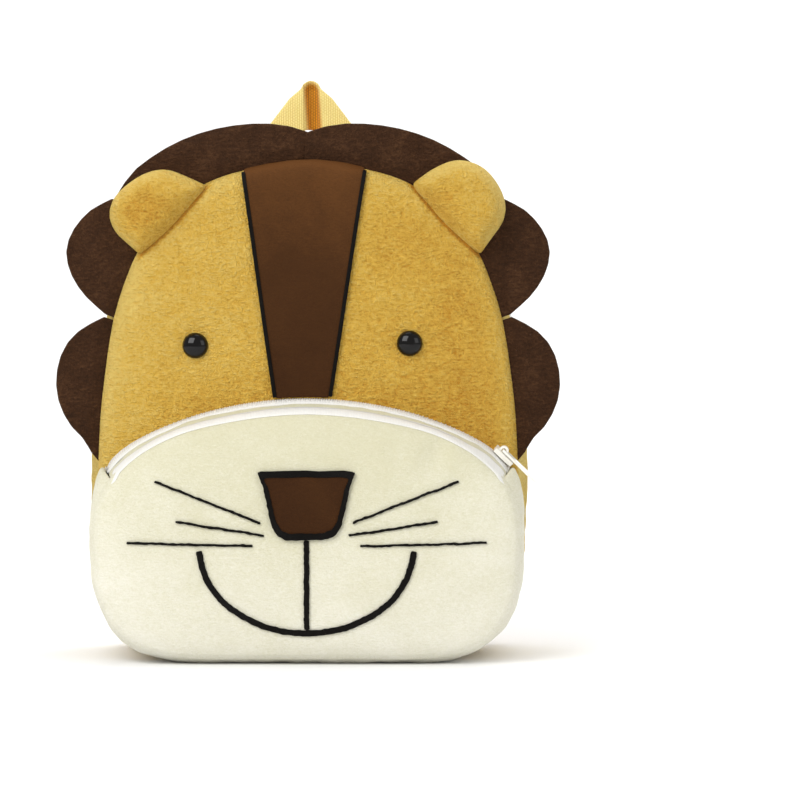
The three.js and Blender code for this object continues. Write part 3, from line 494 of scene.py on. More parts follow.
# Satin stitches laid side by side along a stored length
def satinStitch():
    n, ins, outs = group(
        "satinStitch",
        [
            ("Thread", colour, (0.02, 0.02, 0.02, 1)),
            ("Gap", colour, (0.0, 0.0, 0.0, 1)),
            ("Pitch", number, 0.45),
        ],
        [("Color", colour), ("Roughness", number), ("Height", number)],
    )
    _, inMm = n.places()
    along = n.stored("along")
    jitter = n.noise(inMm, 0.8, 2.0, 0.6)
    run = n.plus(
        n.math("DIVIDE", along, ins["Pitch"]), n.times(jitter, 1.4)
    )
    stitch = n.math("ABSOLUTE", n.math("SINE", n.times(run, math.pi)))
    single = n.noise(
        n.add("ShaderNodeCombineXYZ", X=n.math("FLOOR", run)).outputs[0], 3.1, 1.0, 0.5
    )
    n.put(outs["Color"], n.mix(n.math("POWER", stitch, 0.5), ins["Gap"], ins["Thread"]))
    n.put(outs["Roughness"], n.ramp(single, 0.3, 0.7, 0.36, 0.6))
    n.put(outs["Height"], n.plus(stitch, n.times(single, 0.5)))
    return n.tree


# Fine woven tape
def tapeWeave():
    n, ins, outs = group(
        "tapeWeave",
        [
            ("Thread", colour, (0.9, 0.88, 0.82, 1)),
            ("Valley", colour, (0.7, 0.68, 0.62, 1)),
            ("Line", colour, (0.4, 0.39, 0.37, 1)),
            ("Rib", number, 0.8),
        ],
        [("Color", colour), ("Roughness", number), ("Height", number)],
    )
    _, inMm = n.places()
    parts = n.add("ShaderNodeSeparateXYZ", Vector=inMm)
    warp = n.math("SINE", n.times(parts.outputs["Y"], n.math("DIVIDE", 6.283, ins["Rib"])))
    weft = n.math("SINE", n.times(parts.outputs["X"], n.math("DIVIDE", 6.283, ins["Rib"])))
    lift = n.times(n.plus(warp, weft), 0.5)
    fuzz = n.noise(inMm, 1.6, 3.0, 0.7)
    lit = n.plus(n.ramp(lift, -1.0, 1.0, 0.3, 0.9), n.times(fuzz, 0.2))
    line = n.stored("line")
    woven = n.mix(lit, ins["Valley"], ins["Thread"])
    n.put(outs["Color"], n.mix(n.times(line, 0.5), woven, ins["Line"]))
    n.put(outs["Roughness"], n.ramp(fuzz, 0.2, 0.8, 0.7, 0.9))
    n.put(outs["Height"], lift)
    return n.tree


# Moulded plastic: a faint grain, flow marks and handling wear
def mouldedSkin():
    n, ins, outs = group(
        "mouldedSkin",
        [
            ("Base", colour, (0.8, 0.8, 0.8, 1)),
            ("Worn", colour, (0.7, 0.7, 0.7, 1)),
            ("Gloss", number, 0.35),
        ],
        [("Color", colour), ("Roughness", number), ("Height", number)],
    )
    place, inMm = n.places()
    grain = n.noise(inMm, 3.5, 2.0, 0.6)
    flow = n.noise(inMm, 0.16, 3.0, 0.6, 1.2)
    scuff = n.noise(n.stretched(place, (900, 300, 300)), 1.2, 3.0, 0.7)
    worn = n.times(n.ramp(scuff, 0.52, 0.72), n.ramp(flow, 0.4, 0.6))
    n.put(outs["Color"], n.mix(n.times(worn, 0.7), ins["Base"], ins["Worn"]))
    n.put(
        outs["Roughness"],
        n.plus(ins["Gloss"], n.plus(n.times(worn, 0.18), n.ramp(flow, 0.3, 0.7, -0.04, 0.05))),
    )
    n.put(outs["Height"], n.plus(n.times(grain, 0.6), n.times(flow, 0.4)))
    return n.tree


groups = {
    "plushPile": plushPile(),
    "webbingWeave": webbingWeave(),
    "satinStitch": satinStitch(),
    "tapeWeave": tapeWeave(),
    "mouldedSkin": mouldedSkin(),
}


def srgb(r, g, b):
    return tuple(
        c / 255 / 12.92 if c / 255 <= 0.04045 else ((c / 255 + 0.055) / 1.055) ** 2.4
        for c in (r, g, b)
    ) + (1.0,)


# A material whose look comes from one of the groups
def surface(name, groupName, values, bump, lift, sheen=0.0, coat=0.0, glow=None, shine=0.5):
    material = bpy.data.materials.new(name)
    material.use_nodes = True
    tree = material.node_tree
    shader = tree.nodes["Principled BSDF"]
    shader.inputs["Specular IOR Level"].default_value = shine if sheen == 0 else 0.15
    look = tree.nodes.new("ShaderNodeGroup")
    look.node_tree = groups[groupName]
    for label, value in values.items():
        look.inputs[label].default_value = value
    raised = tree.nodes.new("ShaderNodeBump")
    raised.inputs["Strength"].default_value = bump
    raised.inputs["Distance"].default_value = lift
    links = tree.links
    links.new(look.outputs["Color"], shader.inputs["Base Color"])
    links.new(look.outputs["Roughness"], shader.inputs["Roughness"])
    links.new(look.outputs["Height"], raised.inputs["Height"])
    links.new(raised.outputs["Normal"], shader.inputs["Normal"])
    shader.inputs["Sheen Weight"].default_value = sheen
    shader.inputs["Sheen Roughness"].default_value = 0.45
    if glow:
        shader.inputs["Sheen Tint"].default_value = glow
    shader.inputs["Coat Weight"].default_value = coat
    shader.inputs["Coat Roughness"].default_value = 0.06
    return material


looks = {
    "yellow": {
        "Deep": srgb(203, 136, 36),
        "Middle": srgb(238, 190, 78),
        "Light": srgb(250, 215, 118),
    },
    "paleYellow": {
        "Deep": srgb(206, 154, 50),
        "Middle": srgb(234, 202, 104),
        "Light": srgb(244, 222, 142),
    },
    "cream": {
        "Deep": srgb(189, 183, 147),
        "Middle": srgb(203, 199, 172),
        "Light": srgb(225, 222, 208),
    },
    "brown": {
        "Deep": srgb(46, 24, 7),
        "Middle": srgb(63, 36, 11),
        "Light": srgb(90, 54, 20),
    },
    "mane": {
        "Deep": srgb(40, 23, 10),
        "Middle": srgb(56, 33, 16),
        "Light": srgb(80, 52, 30),
    },
    "strap": {
        "Deep": srgb(104, 62, 34),
        "Middle": srgb(148, 95, 58),
        "Light": srgb(198, 140, 92),
    },
}

yellowPlush = surface(
    "yellowPlush", "plushPile", looks["yellow"], 1.0, 0.0019, 0.25, glow=srgb(255, 226, 130)
)
palePlush = surface(
    "palePlush", "plushPile", looks["paleYellow"], 1.0, 0.0017, 0.25, glow=srgb(255, 232, 150)
)
creamPlush = surface(
    "creamPlush",
    "plushPile",
    {**looks["cream"], "Patches": 0.15, "Ripples": 0.2, "Tufts": 0.2, "Ripple Size": 0.9, "Tuft Size": 0.8},
    0.35,
    0.0006,
    0.2,
    glow=srgb(255, 252, 240),
)
brownPlush = surface(
    "brownPlush",
    "plushPile",
    {**looks["brown"], "Ripples": 0.14, "Tufts": 0.16, "Ripple Size": 0.8, "Tuft Size": 0.7},
    0.3,
    0.0006,
    0.12,
    glow=srgb(190, 120, 60),
)
manePlush = surface(
    "manePlush",
    "plushPile",
    {**looks["mane"], "Patches": 0.32, "Patch Size": 16.0},
    0.8,
    0.001,
    0.12,
    glow=srgb(180, 120, 70),
)
strapPlush = surface(
    "strapPlush",
    "plushPile",
    {**looks["strap"], "Ripples": 0.45, "Tufts": 0.5},
    1.0,
    0.0014,
    0.25,
    glow=srgb(222, 166, 120),
)
webbingCloth = surface(
    "webbingCloth",
    "webbingWeave",
    {"Thread": srgb(208, 162, 80), "Valley": srgb(152, 102, 36), "Inner": srgb(198, 130, 38)},
    0.8,
    0.0007,
    0.1,
)
handleCloth = surface(
    "handleCloth",
    "webbingWeave",
    {
        "Thread": srgb(244, 226, 152),
        "Valley": srgb(222, 190, 100),
        "Inner": srgb(222, 150, 44),
        "Rib Width": 1.2,
        "Pick Length": 1.5,
    },
    0.7,
    0.0006,
    0.1,
)
blackThread = surface(
    "blackThread",
    "satinStitch",
    {"Thread": srgb(14, 11, 8), "Gap": srgb(3, 2, 2)},
    0.6,
    0.0004,
    shine=0.1,
)
zipTape = surface(
    "zipTape",
    "tapeWeave",
    {"Thread": srgb(232, 231, 226), "Valley": srgb(212, 209, 203), "Line": srgb(150, 146, 140)},
    0.4,
    0.0003,
    0.1,
)
plastics = {
    "zipCoil": ((214, 211, 204), (190, 186, 178), 0.35, 0.2, 0.0001, {}),
    "whitePlastic": ((240, 237, 228), (216, 210, 198), 0.3, 0.15, 0.0001, {"coat": 0.3}),
    "beigePlastic": ((192, 168, 116), (168, 144, 96), 0.38, 0.2, 0.0002, {"coat": 0.15}),
    "eyeBead": ((7, 5, 4), (16, 12, 9), 0.06, 0.02, 0.00005, {"shine": 0.28}),
}
for name, (base, worn, gloss, bump, lift, extra) in plastics.items():
    values = {"Base": srgb(*base), "Worn": srgb(*worn), "Gloss": gloss}
    plastics[name] = surface(name, "mouldedSkin", values, bump, lift, **extra)
report("materials made")


earShape = {
    "levels": 3,
    "plain": 1,
    "grow": 1.01,
    "unevenness": 0.0009,
    "swell": 0.0048,
    "swellWidth": 0.011,
    "rootReach": {"left": 0.0012, "right": 0.003},
    "rootBulge": 0.0016,
    "rootTuck": 0.0016,
    "seamDepth": 0.0007,
    "seamInside": 0.0032,
    "seamWidth": 0.0008,
    "cap": 0.0022,
    # where the painted shade in each ear sits, from the ear's middle
    "hollow": {"left": (-0.009, 0.0), "right": (-0.012, -0.004)},
    "hollowWidth": 0.013,
    "hollowShade": -0.55,
    "rimHighlight": 0.95,
    "rimWidth": 0.0048,
}


# The sewn edge of an ear's solid: its start, its way, the way out of the ear and its length
def earRoot(side):
    solid = placesOf(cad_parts[f"ear_{side}"])
    starts, ways, lengths = hullEdges(solid)
    k = int(np.argmax(lengths))
    outward = np.array([ways[k][1], -ways[k][0]])
    if (solid[:, [0, 2]].mean(axis=0) - starts[k]) @ outward > 0:
        outward = -outward
    return starts[k], ways[k], outward, lengths[k]


# How far the stuffed ear hangs over its sewn edge
def rootBulge(side, run):
    return earShape["rootReach"][side] + earShape["rootBulge"] * np.sin(np.clip(run, 0, 1) * math.pi)


# A sewn panel swells quickly behind its seam and stays almost flat across; "out" is its way in Y
faceShape = {
    "levels": 3,
    "out": -1,
    "seed": 3,
    "waveSize": 0.075,
    "puckerSize": 0.009,
    "gatherWidth": 0.006,
    "tuck": 0.0012,
    "swell": 0.0042,
    "swellWidth": 0.011,
    "unevenness": 0.0009,
    "pucker": 0.00045,
    "eyeDent": 0.0012,
    "eyeDentWidth": 0.012,
}
crownCentre = 0.128  # where the rings of the face spread from
pocketCentre = 0.0655  # and those of the pocket
seam = Outline("face_panel", crownCentre)


def swelling(depths, width):
    share = np.clip(depths / width, 0, 1)
    return np.sqrt(1 - (1 - share) ** 2)


# How far a panel's skin moves along Y at each place
def panelShift(places, outline, shape):
    depths = outline.depths(places)
    flat = flattened(places)
    shift = shape["out"] * shape["swell"] * swelling(depths, shape["swellWidth"])
    shift -= shape["out"] * shape["tuck"] * np.clip(1 - depths / 0.003, 0, 1.2)
    shift += shape["unevenness"] * softWaves(flat, shape["waveSize"], shape["seed"]) * swelling(depths, 0.03)
    gather = np.exp(-np.clip(depths, 0, 1) / shape["gatherWidth"]) * np.clip(depths / 0.002, 0, 1)
    return shift + shape["pucker"] * softWaves(flat, shape["puckerSize"], shape["seed"] + 2) * gather


eyeCentres = [sum(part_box(f"eye_{side}"), Vector()) / 2 for side in sides]


# The face's skin is also drawn in round the eyes
def faceShift(places):
    shift = panelShift(places, seam, faceShape)
    for eye in eyeCentres:
        away = np.hypot(places[:, 0] - eye.x, places[:, 2] - eye.z)
        shift += faceShape["eyeDent"] * np.exp(-((away / faceShape["eyeDentWidth"]) ** 2))
    return shift


def withFace(piece):
    places = placesOf(piece)
    places[:, 1] += faceShift(places)
    movePlaces(piece, places)
    return piece


# Painted light on the face: painted shade above the zip and towards the right side, a painted highlight along
# the rim and a painted shadow under each ear
facePaintedLight = {
    "base": 0.06,
    "zipShade": -0.34,
    "zipWidth": 0.014,
    "sideways": -0.34,
    "rim": 0.6,
    "rimWidth": 0.008,
    "underEar": -2.0,
    "underEarWidth": 0.0013,
    "underEarShift": 0.0006,
}


# How high the pocket's zip meets the face at each x
def pocketBackHeight(xs):
    places = placesOf(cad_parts["pocket_zip"])
    marks = np.linspace(-0.1, 0.1, 41)
    tops = [places[np.abs(places[:, 0] - mark) < 0.008][:, 2].max() for mark in marks]
    return np.interp(xs, marks, tops)


def paintedLightOfFace(places):
    top = pocketBackHeight(places[:, 0])
    above = np.clip(places[:, 2] - top, 0, 1)
    # painted shade just above the pocket's zip
    tone = facePaintedLight["base"] + facePaintedLight["zipShade"] * np.exp(-above / facePaintedLight["zipWidth"])
    # painted shade growing towards the right side
    tone += facePaintedLight["sideways"] * places[:, 0] / 0.1
    depths = np.clip(seam.depths(places), 0, 1)
    # painted highlight along the rim of the face
    tone += facePaintedLight["rim"] * np.exp(-((depths / facePaintedLight["rimWidth"]) ** 2))
    # painted shadow under the lower edge of each ear
    for side in sides:
        start, way, outward, length = earRoot(side)
        run = ((places[:, [0, 2]] - start) @ way) / length
        off = (places[:, [0, 2]] - start) @ outward - rootBulge(side, run) + facePaintedLight["underEarShift"]
        within = np.clip(np.minimum(run, 1 - run) * 12 + 1, 0, 1)
        tone += facePaintedLight["underEar"] * np.exp(-((off / facePaintedLight["underEarWidth"]) ** 2)) * within
    return tone


plushFace = withFace(softCopy("plushFace", "face_panel", faceShape["levels"]))
storeValues(plushFace, "tone", paintedLightOfFace(placesOf(plushFace)))
dressed(plushFace, yellowPlush, ["face_panel"])
report("face panel")


backShape = {
    "levels": 3,
    "out": 1,
    "seed": 13,
    "waveSize": 0.06,
    "puckerSize": 0.01,
    "gatherWidth": 0.007,
    "tuck": 0.0012,
    "swell": 0.003,
    "swellWidth": 0.012,
    "unevenness": 0.0012,
    "pucker": 0.0005,
    "shade": -0.8,
    "shadeWidth": 0.045,
    "rim": 0.4,
    "rimWidth": 0.006,
}
plushBack = softCopy("plushBack", "back_panel", backShape["levels"])
places = placesOf(plushBack)
places[:, 1] += panelShift(places, seam, backShape)
movePlaces(plushBack, places)
# Painted shadow low in the middle between the straps, and a painted highlight along the rim
middle = np.exp(-((places[:, 0] / backShape["shadeWidth"]) ** 2)) * np.clip((0.24 - places[:, 2]) / 0.08, 0, 1)
rim = np.exp(-((np.clip(seam.depths(places), 0, 1) / backShape["rimWidth"]) ** 2))
storeValues(plushBack, "tone", backShape["shade"] * middle + backShape["rim"] * rim)
dressed(plushBack, yellowPlush, ["back_panel"])
report("back panel")


# Bands between the panels
bandShape = {"levels": 3, "unevenness": 0.0009, "pucker": 0.0004, "reach": 0.001, "drop": 0.0014}


# A soft copy with an uneven skin that reaches a little past its solid along Y, into its seams
def unevenCopy(name, node, shape, seed):
    piece = softCopy(name, node, shape["levels"])
    places = placesOf(piece)
    normals = normalsOf(piece)
    low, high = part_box(node)
    middleY = (low.y + high.y) / 2
    places[:, 1] = middleY + (places[:, 1] - middleY) * (1 + 2 * shape["reach"] / (high.y - low.y))
    lift = shape["unevenness"] * softWaves(places, 0.05, seed)
    lift += shape["pucker"] * softWaves(places, 0.011, seed + 1)
    movePlaces(piece, places + normals * lift[:, None])
    return piece


bands = {"plushBase": "base_band", "plushTopFront": "top_band_front", "plushTopBack": "top_band_back"}
for i, (name, node) in enumerate(bands.items()):
    band = unevenCopy(name, node, bandShape, 20 + i)
    places = placesOf(band)
    if node != "base_band":
        above = places[:, 2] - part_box(node)[0].z
        places[:, 2] -= bandShape["drop"] * np.exp(-above / 0.005)
    places[:, 2] = np.maximum(places[:, 2], 0.0)
    movePlaces(band, places)
    dressed(band, palePlush, [node])
report("bands")


pocketShape = {
    "levels": 3,
    "out": -1,
    "seed": 33,
    "waveSize": 0.07,
    "puckerSize": 0.009,
    "gatherWidth": 0.006,
    "tuck": 0.0014,
    "swell": 0.0034,
    "swellWidth": 0.012,
    "unevenness": 0.0011,
    "pucker": 0.0003,
}
pocketBandShape = {"levels": 3, "unevenness": 0.0007, "pucker": 0.0003, "reach": 0.0008}
muzzlePaintedLight = {"low": 0.75, "high": -0.25, "out": 0.3}
_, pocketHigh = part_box("pocket_front")
pocketSeam = Outline("pocket_front", pocketCentre)


def withPocket(piece):
    places = placesOf(piece)
    places[:, 1] += panelShift(places, pocketSeam, pocketShape)
    movePlaces(piece, places)
    return piece


# Painted shade towards the zip, and painted light towards the base and the sides
def paintedLightOfMuzzle(places):
    up = np.clip(places[:, 2] / pocketHigh.z, 0, 1)
    out = np.clip(np.abs(places[:, 0]) / pocketHigh.x, 0, 1)
    tone = muzzlePaintedLight["low"] + (muzzlePaintedLight["high"] - muzzlePaintedLight["low"]) * up
    return tone + muzzlePaintedLight["out"] * out**3


plushMuzzle = withPocket(softCopy("plushMuzzle", "pocket_front", pocketShape["levels"]))
storeValues(plushMuzzle, "tone", paintedLightOfMuzzle(placesOf(plushMuzzle)))
dressed(plushMuzzle, creamPlush, ["pocket_front"])
for i, (name, node) in enumerate([("plushMuzzleBand", "pocket_band"), ("plushMuzzleTop", "pocket_top_band")]):
    band = unevenCopy(name, node, pocketBandShape, 40 + i)
    places = placesOf(band)
    places[:, 2] = np.maximum(places[:, 2], 0.0)
    movePlaces(band, places)
    storeValues(band, "tone", paintedLightOfMuzzle(places))
    dressed(band, creamPlush, [node])
plushMuzzleBand = bpy.data.objects["plushMuzzleBand"]
plushMuzzleTop = bpy.data.objects["plushMuzzleTop"]
report("front pocket")


# Zips: tape under a coil of small teeth
zipShape = {
    "toothPitch": 0.00125,
    "toothWidth": 0.004,
    "toothHeight": 0.0006,
    "toothSink": 0.0002,
    "toothStagger": 0.0004,
}


# Teeth across a line of stations, each a place, the way along and the way out
def coil(name, stations):
    shape = bmesh.new()
    pitch = zipShape["toothPitch"]
    half = zipShape["toothWidth"] / 2
    profile = [
        (math.cos(a) * pitch * 0.4, math.sin(a) * zipShape["toothHeight"])
        for a in np.linspace(0, math.pi, 6)
    ]
    for k, (place, along, out) in enumerate(stations):
        across = along.cross(out).normalized()
        shift = across * zipShape["toothStagger"] * (1 if k % 2 else -1)
        ends = []
        for side, drop in ((-1, 0.35), (-0.8, 1), (-0.12, 1), (0, 0.8), (0.12, 1), (0.8, 1), (1, 0.35)):
            ends.append(
                [
                    shape.verts.new(
                        place
                        + shift
                        + across * (side * half)
                        + along * a
                        + out * (b * drop - zipShape["toothSink"])
                    )
                    for a, b in profile
                ]
            )
        for near, far in zip(ends, ends[1:]):
            for i in range(len(profile)):
                j = (i + 1) % len(profile)
                shape.faces.new((near[i], near[j], far[j], far[i]))
        shape.faces.new(list(reversed(ends[0])))
        shape.faces.new(ends[-1])
    bmesh.ops.recalc_face_normals(shape, faces=shape.faces)
    piece = pieceFrom(name, shape)
    shadeSmooth(piece)
    return piece


# Even stations along a line of places with the ways out at them
def stationsAlong(line, outs, pitch):
    steps = np.linalg.norm(np.diff(line, axis=0), axis=1)
    length = np.concatenate([[0], np.cumsum(steps)])
    count = int(length[-1] / pitch)
    marks = np.linspace(0, length[-1], count)
    even = np.stack([np.interp(marks, length, line[:, k]) for k in range(3)], axis=1)
    ways = np.stack([np.interp(marks, length, outs[:, k]) for k in range(3)], axis=1)
    found = []
    for k in range(1, count - 1):
        along = Vector(even[k + 1] - even[k - 1]).normalized()
        out = Vector(ways[k])
        out = (out - along * out.dot(along)).normalized()
        found.append((Vector(even[k]), along, out))
    return found


# The middle of a zip's tape as seen from a centre, by rays cast inwards
def tapeMiddle(node, centreHeight, lowY, highY, fromTurn, toTurn, share):
    tree = treeOf(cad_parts[node])
    line = []
    outs = []
    for turn in np.linspace(fromTurn, toTurn, 220):
        way = Vector((math.cos(turn), 0, math.sin(turn)))
        hits = []
        for y in np.arange(lowY, highY, 0.0004):
            start = Vector((0, y, centreHeight)) + way * 0.3
            place, normal, _, _ = tree.ray_cast(start, -way)
            if place is not None:
                hits.append((place, normal))
        if hits:
            place, normal = hits[int((len(hits) - 1) * share)]
            line.append(place)
            outs.append(normal if normal.dot(way) > 0 else -normal)
    return np.array(line), np.array(outs)


for name, tapeName, node, centreHeight, share in (
    ("coilMain", "tapeMain", "main_zip", crownCentre, 0.5),
    ("coilPocket", "tapePocket", "pocket_zip", pocketCentre, 0.4),
):
    low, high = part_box(node)
    tape = softCopy(tapeName, node, 3)
    dressed(tape, zipTape, [node])
    line, outs = tapeMiddle(node, centreHeight, low.y, high.y, -0.05, math.pi + 0.05, share)
    kernel = np.ones(9) / 9
    for k in range(3):
        outs[4:-4, k] = np.convolve(outs[:, k], kernel, "valid")
        line[4:-4, k] = np.convolve(line[:, k], kernel, "valid")
    teeth = coil(name, stationsAlong(line, outs, zipShape["toothPitch"]))
    dressed(teeth, plastics["zipCoil"])
report("zips")


# The lower half of the pocket's tape, sewn over the top band and the upper rim of the front
frontTape = {
    "over": 8,  # points across the top band
    "down": 5,  # points down the front
    "stations": 170,
    "lineRow": 4,
    "onFront": 0.0021,
    "lift": 0.00045,
    "past": 0.02,
    "sink": 0.0011,
    "step": 0.0008,
    "thickness": 0.0004,
}


def frontTapeStrip():
    along = treeOf(plushMuzzle, plushMuzzleTop)
    ends = treeOf(plushMuzzle, plushMuzzleTop, plushMuzzleBand)
    band = placesOf(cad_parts["pocket_top_band"])
    centre = pocketCentre
    bandTurns = np.arctan2(band[:, 2] - centre, band[:, 0])
    levels = np.linspace(band[:, 1].max() + 0.0003, band[:, 1].min(), frontTape["over"])
    first, last = bandTurns.min(), bandTurns.max()
    turns = np.linspace(first - frontTape["past"], last + frontTape["past"], frontTape["stations"])
    ways = [Vector((math.cos(turn), 0, math.sin(turn))) for turn in turns]
    reaches = np.full((len(turns), len(levels)), np.nan)
    for i, (turn, way) in enumerate(zip(turns, ways)):
        tree = along if first < turn < last else ends
        for j, y in enumerate(levels):
            place, _, _, _ = tree.ray_cast(Vector((0, y, centre)) + way * 0.3, -way)
            if place is not None:
                reaches[i, j] = math.hypot(place.x, place.z - centre)
    for j in range(len(levels)):
        reaches[:, j] = [np.nanmedian(reaches[max(0, i - 5) : i + 6, j]) for i in range(len(turns))]
    front = reaches[:, -2:].max(axis=1)[:, None]
    reaches = np.where(np.isnan(reaches), front, reaches)
    reaches = np.clip(reaches, front - 0.004, front + frontTape["step"])
    strip = bmesh.new()
    previous = None
    for turn, way, reach in zip(turns, ways, reaches):
        ended = min(turn - first, last - turn) + frontTape["past"]
        full = min(1, ended / (frontTape["past"] * 1.6))
        lift = frontTape["lift"] - frontTape["sink"] * (1 - full)
        row = [Vector((0, y, centre)) + way * (far + lift) for y, far in zip(levels, reach)]
        rim = row[-1]
        depth = rim.y
        for step in range(1, frontTape["down"] + 1):
            point = rim - way * (lift + frontTape["onFront"] * full * step / frontTape["down"])
            place, _, _, _ = ends.ray_cast(Vector((point.x, -0.3, point.z)), Vector((0, 1, 0)))
            sunk = 0.3 if step == frontTape["down"] else 1
            if place is not None:
                depth = place.y - lift * sunk
            row.append(Vector((point.x, depth, point.z)))
        made = [strip.verts.new(place) for place in row]
        if previous:
            for k in range(len(made) - 1):
                strip.faces.new((previous[k], made[k], made[k + 1], previous[k + 1]))
        previous = made
    for _ in range(2):
        bmesh.ops.smooth_vert(
            strip, verts=strip.verts, factor=0.4, use_axis_x=True, use_axis_y=True, use_axis_z=True
        )
    bmesh.ops.recalc_face_normals(strip, faces=strip.faces)
    piece = pieceFrom("tapePocketFront", strip)
    across = np.tile(np.arange(frontTape["over"] + frontTape["down"]), len(turns))
    storeValues(piece, "line", np.where(across == frontTape["lineRow"], 1.0, 0.0))
    thick = piece.modifiers.new("thickness", "SOLIDIFY")
    thick.thickness = frontTape["thickness"]
    thick.offset = 0
    return applied(piece)


dressed(frontTapeStrip(), zipTape)


# Mane lobes: two layers sewn at the edge and turned, slightly padded
maneShape = {
    "levels": 3,
    "plain": 2,
    "grow": 1.015,
    "centreReach": 0.0028,
    "centreWidth": 0.014,
    "centreStep": 0.0008,
    "padding": 0.0016,
    "wave": 0.0016,
    "waveSize": 0.045,
    "rootWidth": 0.004,
    "tuck": 0.005,
    "tuckBack": 0.0012,
}
for side in sides:
    leftward = 1 if side == "left" else -1
    for i in (1, 2, 3):
        node = f"mane_{side}_{i}"
        lobe = softCopy(f"plushMane.{side}.{i}", node, maneShape["levels"], maneShape["plain"])
        places = placesOf(lobe)
        normals = normalsOf(lobe)
        depths = -seam.depths(places)
        middle = places.mean(axis=0)[[0, 2]]
        places[:, [0, 2]] = middle + (places[:, [0, 2]] - middle) * maneShape["grow"]
        if i == 1:
            near = np.clip(1 - np.abs(places[:, 0]) / maneShape["centreWidth"], 0, 1)
            places[:, 0] += maneShape["centreReach"] * near * leftward
            places[:, 1] += maneShape["centreStep"] * near * leftward
        root = np.clip(1 - depths / maneShape["rootWidth"], 0, 1)
        inward = seam.inward(places)
        places[:, 0] += inward[:, 0] * root * maneShape["tuck"]
        places[:, 2] += inward[:, 1] * root * maneShape["tuck"]
        places[:, 1] += root * maneShape["tuckBack"]
        flat = flattened(places)
        reach = np.clip(depths / 0.03, 0, 1)
        lift = maneShape["padding"] * np.clip(depths / 0.006, 0, 1) * np.clip((1 - reach) * 3, 0, 1)
        front = np.where(normals[:, 1] < 0, -1, 1)
        places[:, 1] += front * lift * np.abs(normals[:, 1])
        seed = 50 + i + (7 if side == "left" else 0)
        places[:, 1] += maneShape["wave"] * softWaves(flat, maneShape["waveSize"], seed) * reach
        movePlaces(lobe, places)
        dressed(lobe, manePlush, [node])
report("mane")


for i, side in enumerate(sides):
    node = f"ear_{side}"
    ear = softCopy(f"plushEar.{side}", node, earShape["levels"], earShape["plain"])
    places = placesOf(ear)
    low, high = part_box(node)
    middle = np.array([[(low.x + high.x) / 2, 0, (low.z + high.z) / 2]])
    places[:, [0, 2]] = middle[0, [0, 2]] + (places[:, [0, 2]] - middle[0, [0, 2]]) * earShape["grow"]
    start, way, outward, length = earRoot(side)
    fromRoot = offEdge(places, start, way)
    inside = insideHull(places)
    front = normalsOf(ear)[:, 1] < 0.2
    places[:, 1] -= earShape["swell"] * swelling(inside, earShape["swellWidth"]) * front
    run = ((places[:, [0, 2]] - start) @ way) / length
    bulge = rootBulge(side, run)
    near = np.exp(-fromRoot / 0.005)
    places[:, [0, 2]] += (bulge * near)[:, None] * outward
    places[:, 1] += earShape["rootTuck"] * np.exp(-fromRoot / 0.0022) * front
    places[:, 1] += faceShift(middle)[0] * 0.8
    flat = flattened(places)
    places[:, 1] += earShape["unevenness"] * softWaves(flat, 0.03, 60 + i)
    movePlaces(ear, places)
    ear = blownUp(ear, earShape["cap"], np.clip(2 - fromRoot / 0.003, 0, 1))
    places = placesOf(ear)
    fromRoot = offEdge(places, start, way)
    inside = insideHull(places)
    front = normalsOf(ear)[:, 1] < 0.2
    groove = np.exp(-(((inside - earShape["seamInside"]) / earShape["seamWidth"]) ** 2))
    groove *= np.clip(fromRoot / 0.006, 0, 1)
    places[:, 1] += earShape["seamDepth"] * groove * front
    movePlaces(ear, places)
    # Painted highlight along the ear's rim and painted shade in the hollow of the ear
    tone = earShape["rimHighlight"] * np.exp(-((inside / earShape["rimWidth"]) ** 2))
    tone *= np.clip(fromRoot / 0.006, 0.2, 1)
    spot = places[:, [0, 2]] - middle[0, [0, 2]] - np.array(earShape["hollow"][side])
    away = np.linalg.norm(spot, axis=1) / earShape["hollowWidth"]
    tone += earShape["hollowShade"] * np.exp(-(away**2))
    storeValues(ear, "tone", tone)
    dressed(ear, yellowPlush, [node])
report("ears")


# Lengths along a stitched line, in millimetres
def storeAlong(piece, along):
    storeValues(piece, "along", along / mm)


threadCuts = {"levels": 3, "plain": 2}
stripeShape = {
    "levels": 3,
    "plain": 2,
    "widen": 1.06,
    "heighten": 1.014,
    "threadLift": 0.0006,
    "threadWidth": 0.78,
    "threadGrow": 1.02,
    "topTone": 0.75,
    "bottomTone": -0.4,
    "rimHighlight": 0.7,
    "rimWidth": 0.003,
}
stripe = softCopy("plushStripe", "forehead_stripe", stripeShape["levels"], stripeShape["plain"])
places = placesOf(stripe)
low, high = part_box("forehead_stripe")
middle = (low + high) / 2
places[:, 0] = middle.x + (places[:, 0] - middle.x) * stripeShape["widen"]
places[:, 2] = middle.z + (places[:, 2] - middle.z) * stripeShape["heighten"]
movePlaces(stripe, places)
withFace(stripe)
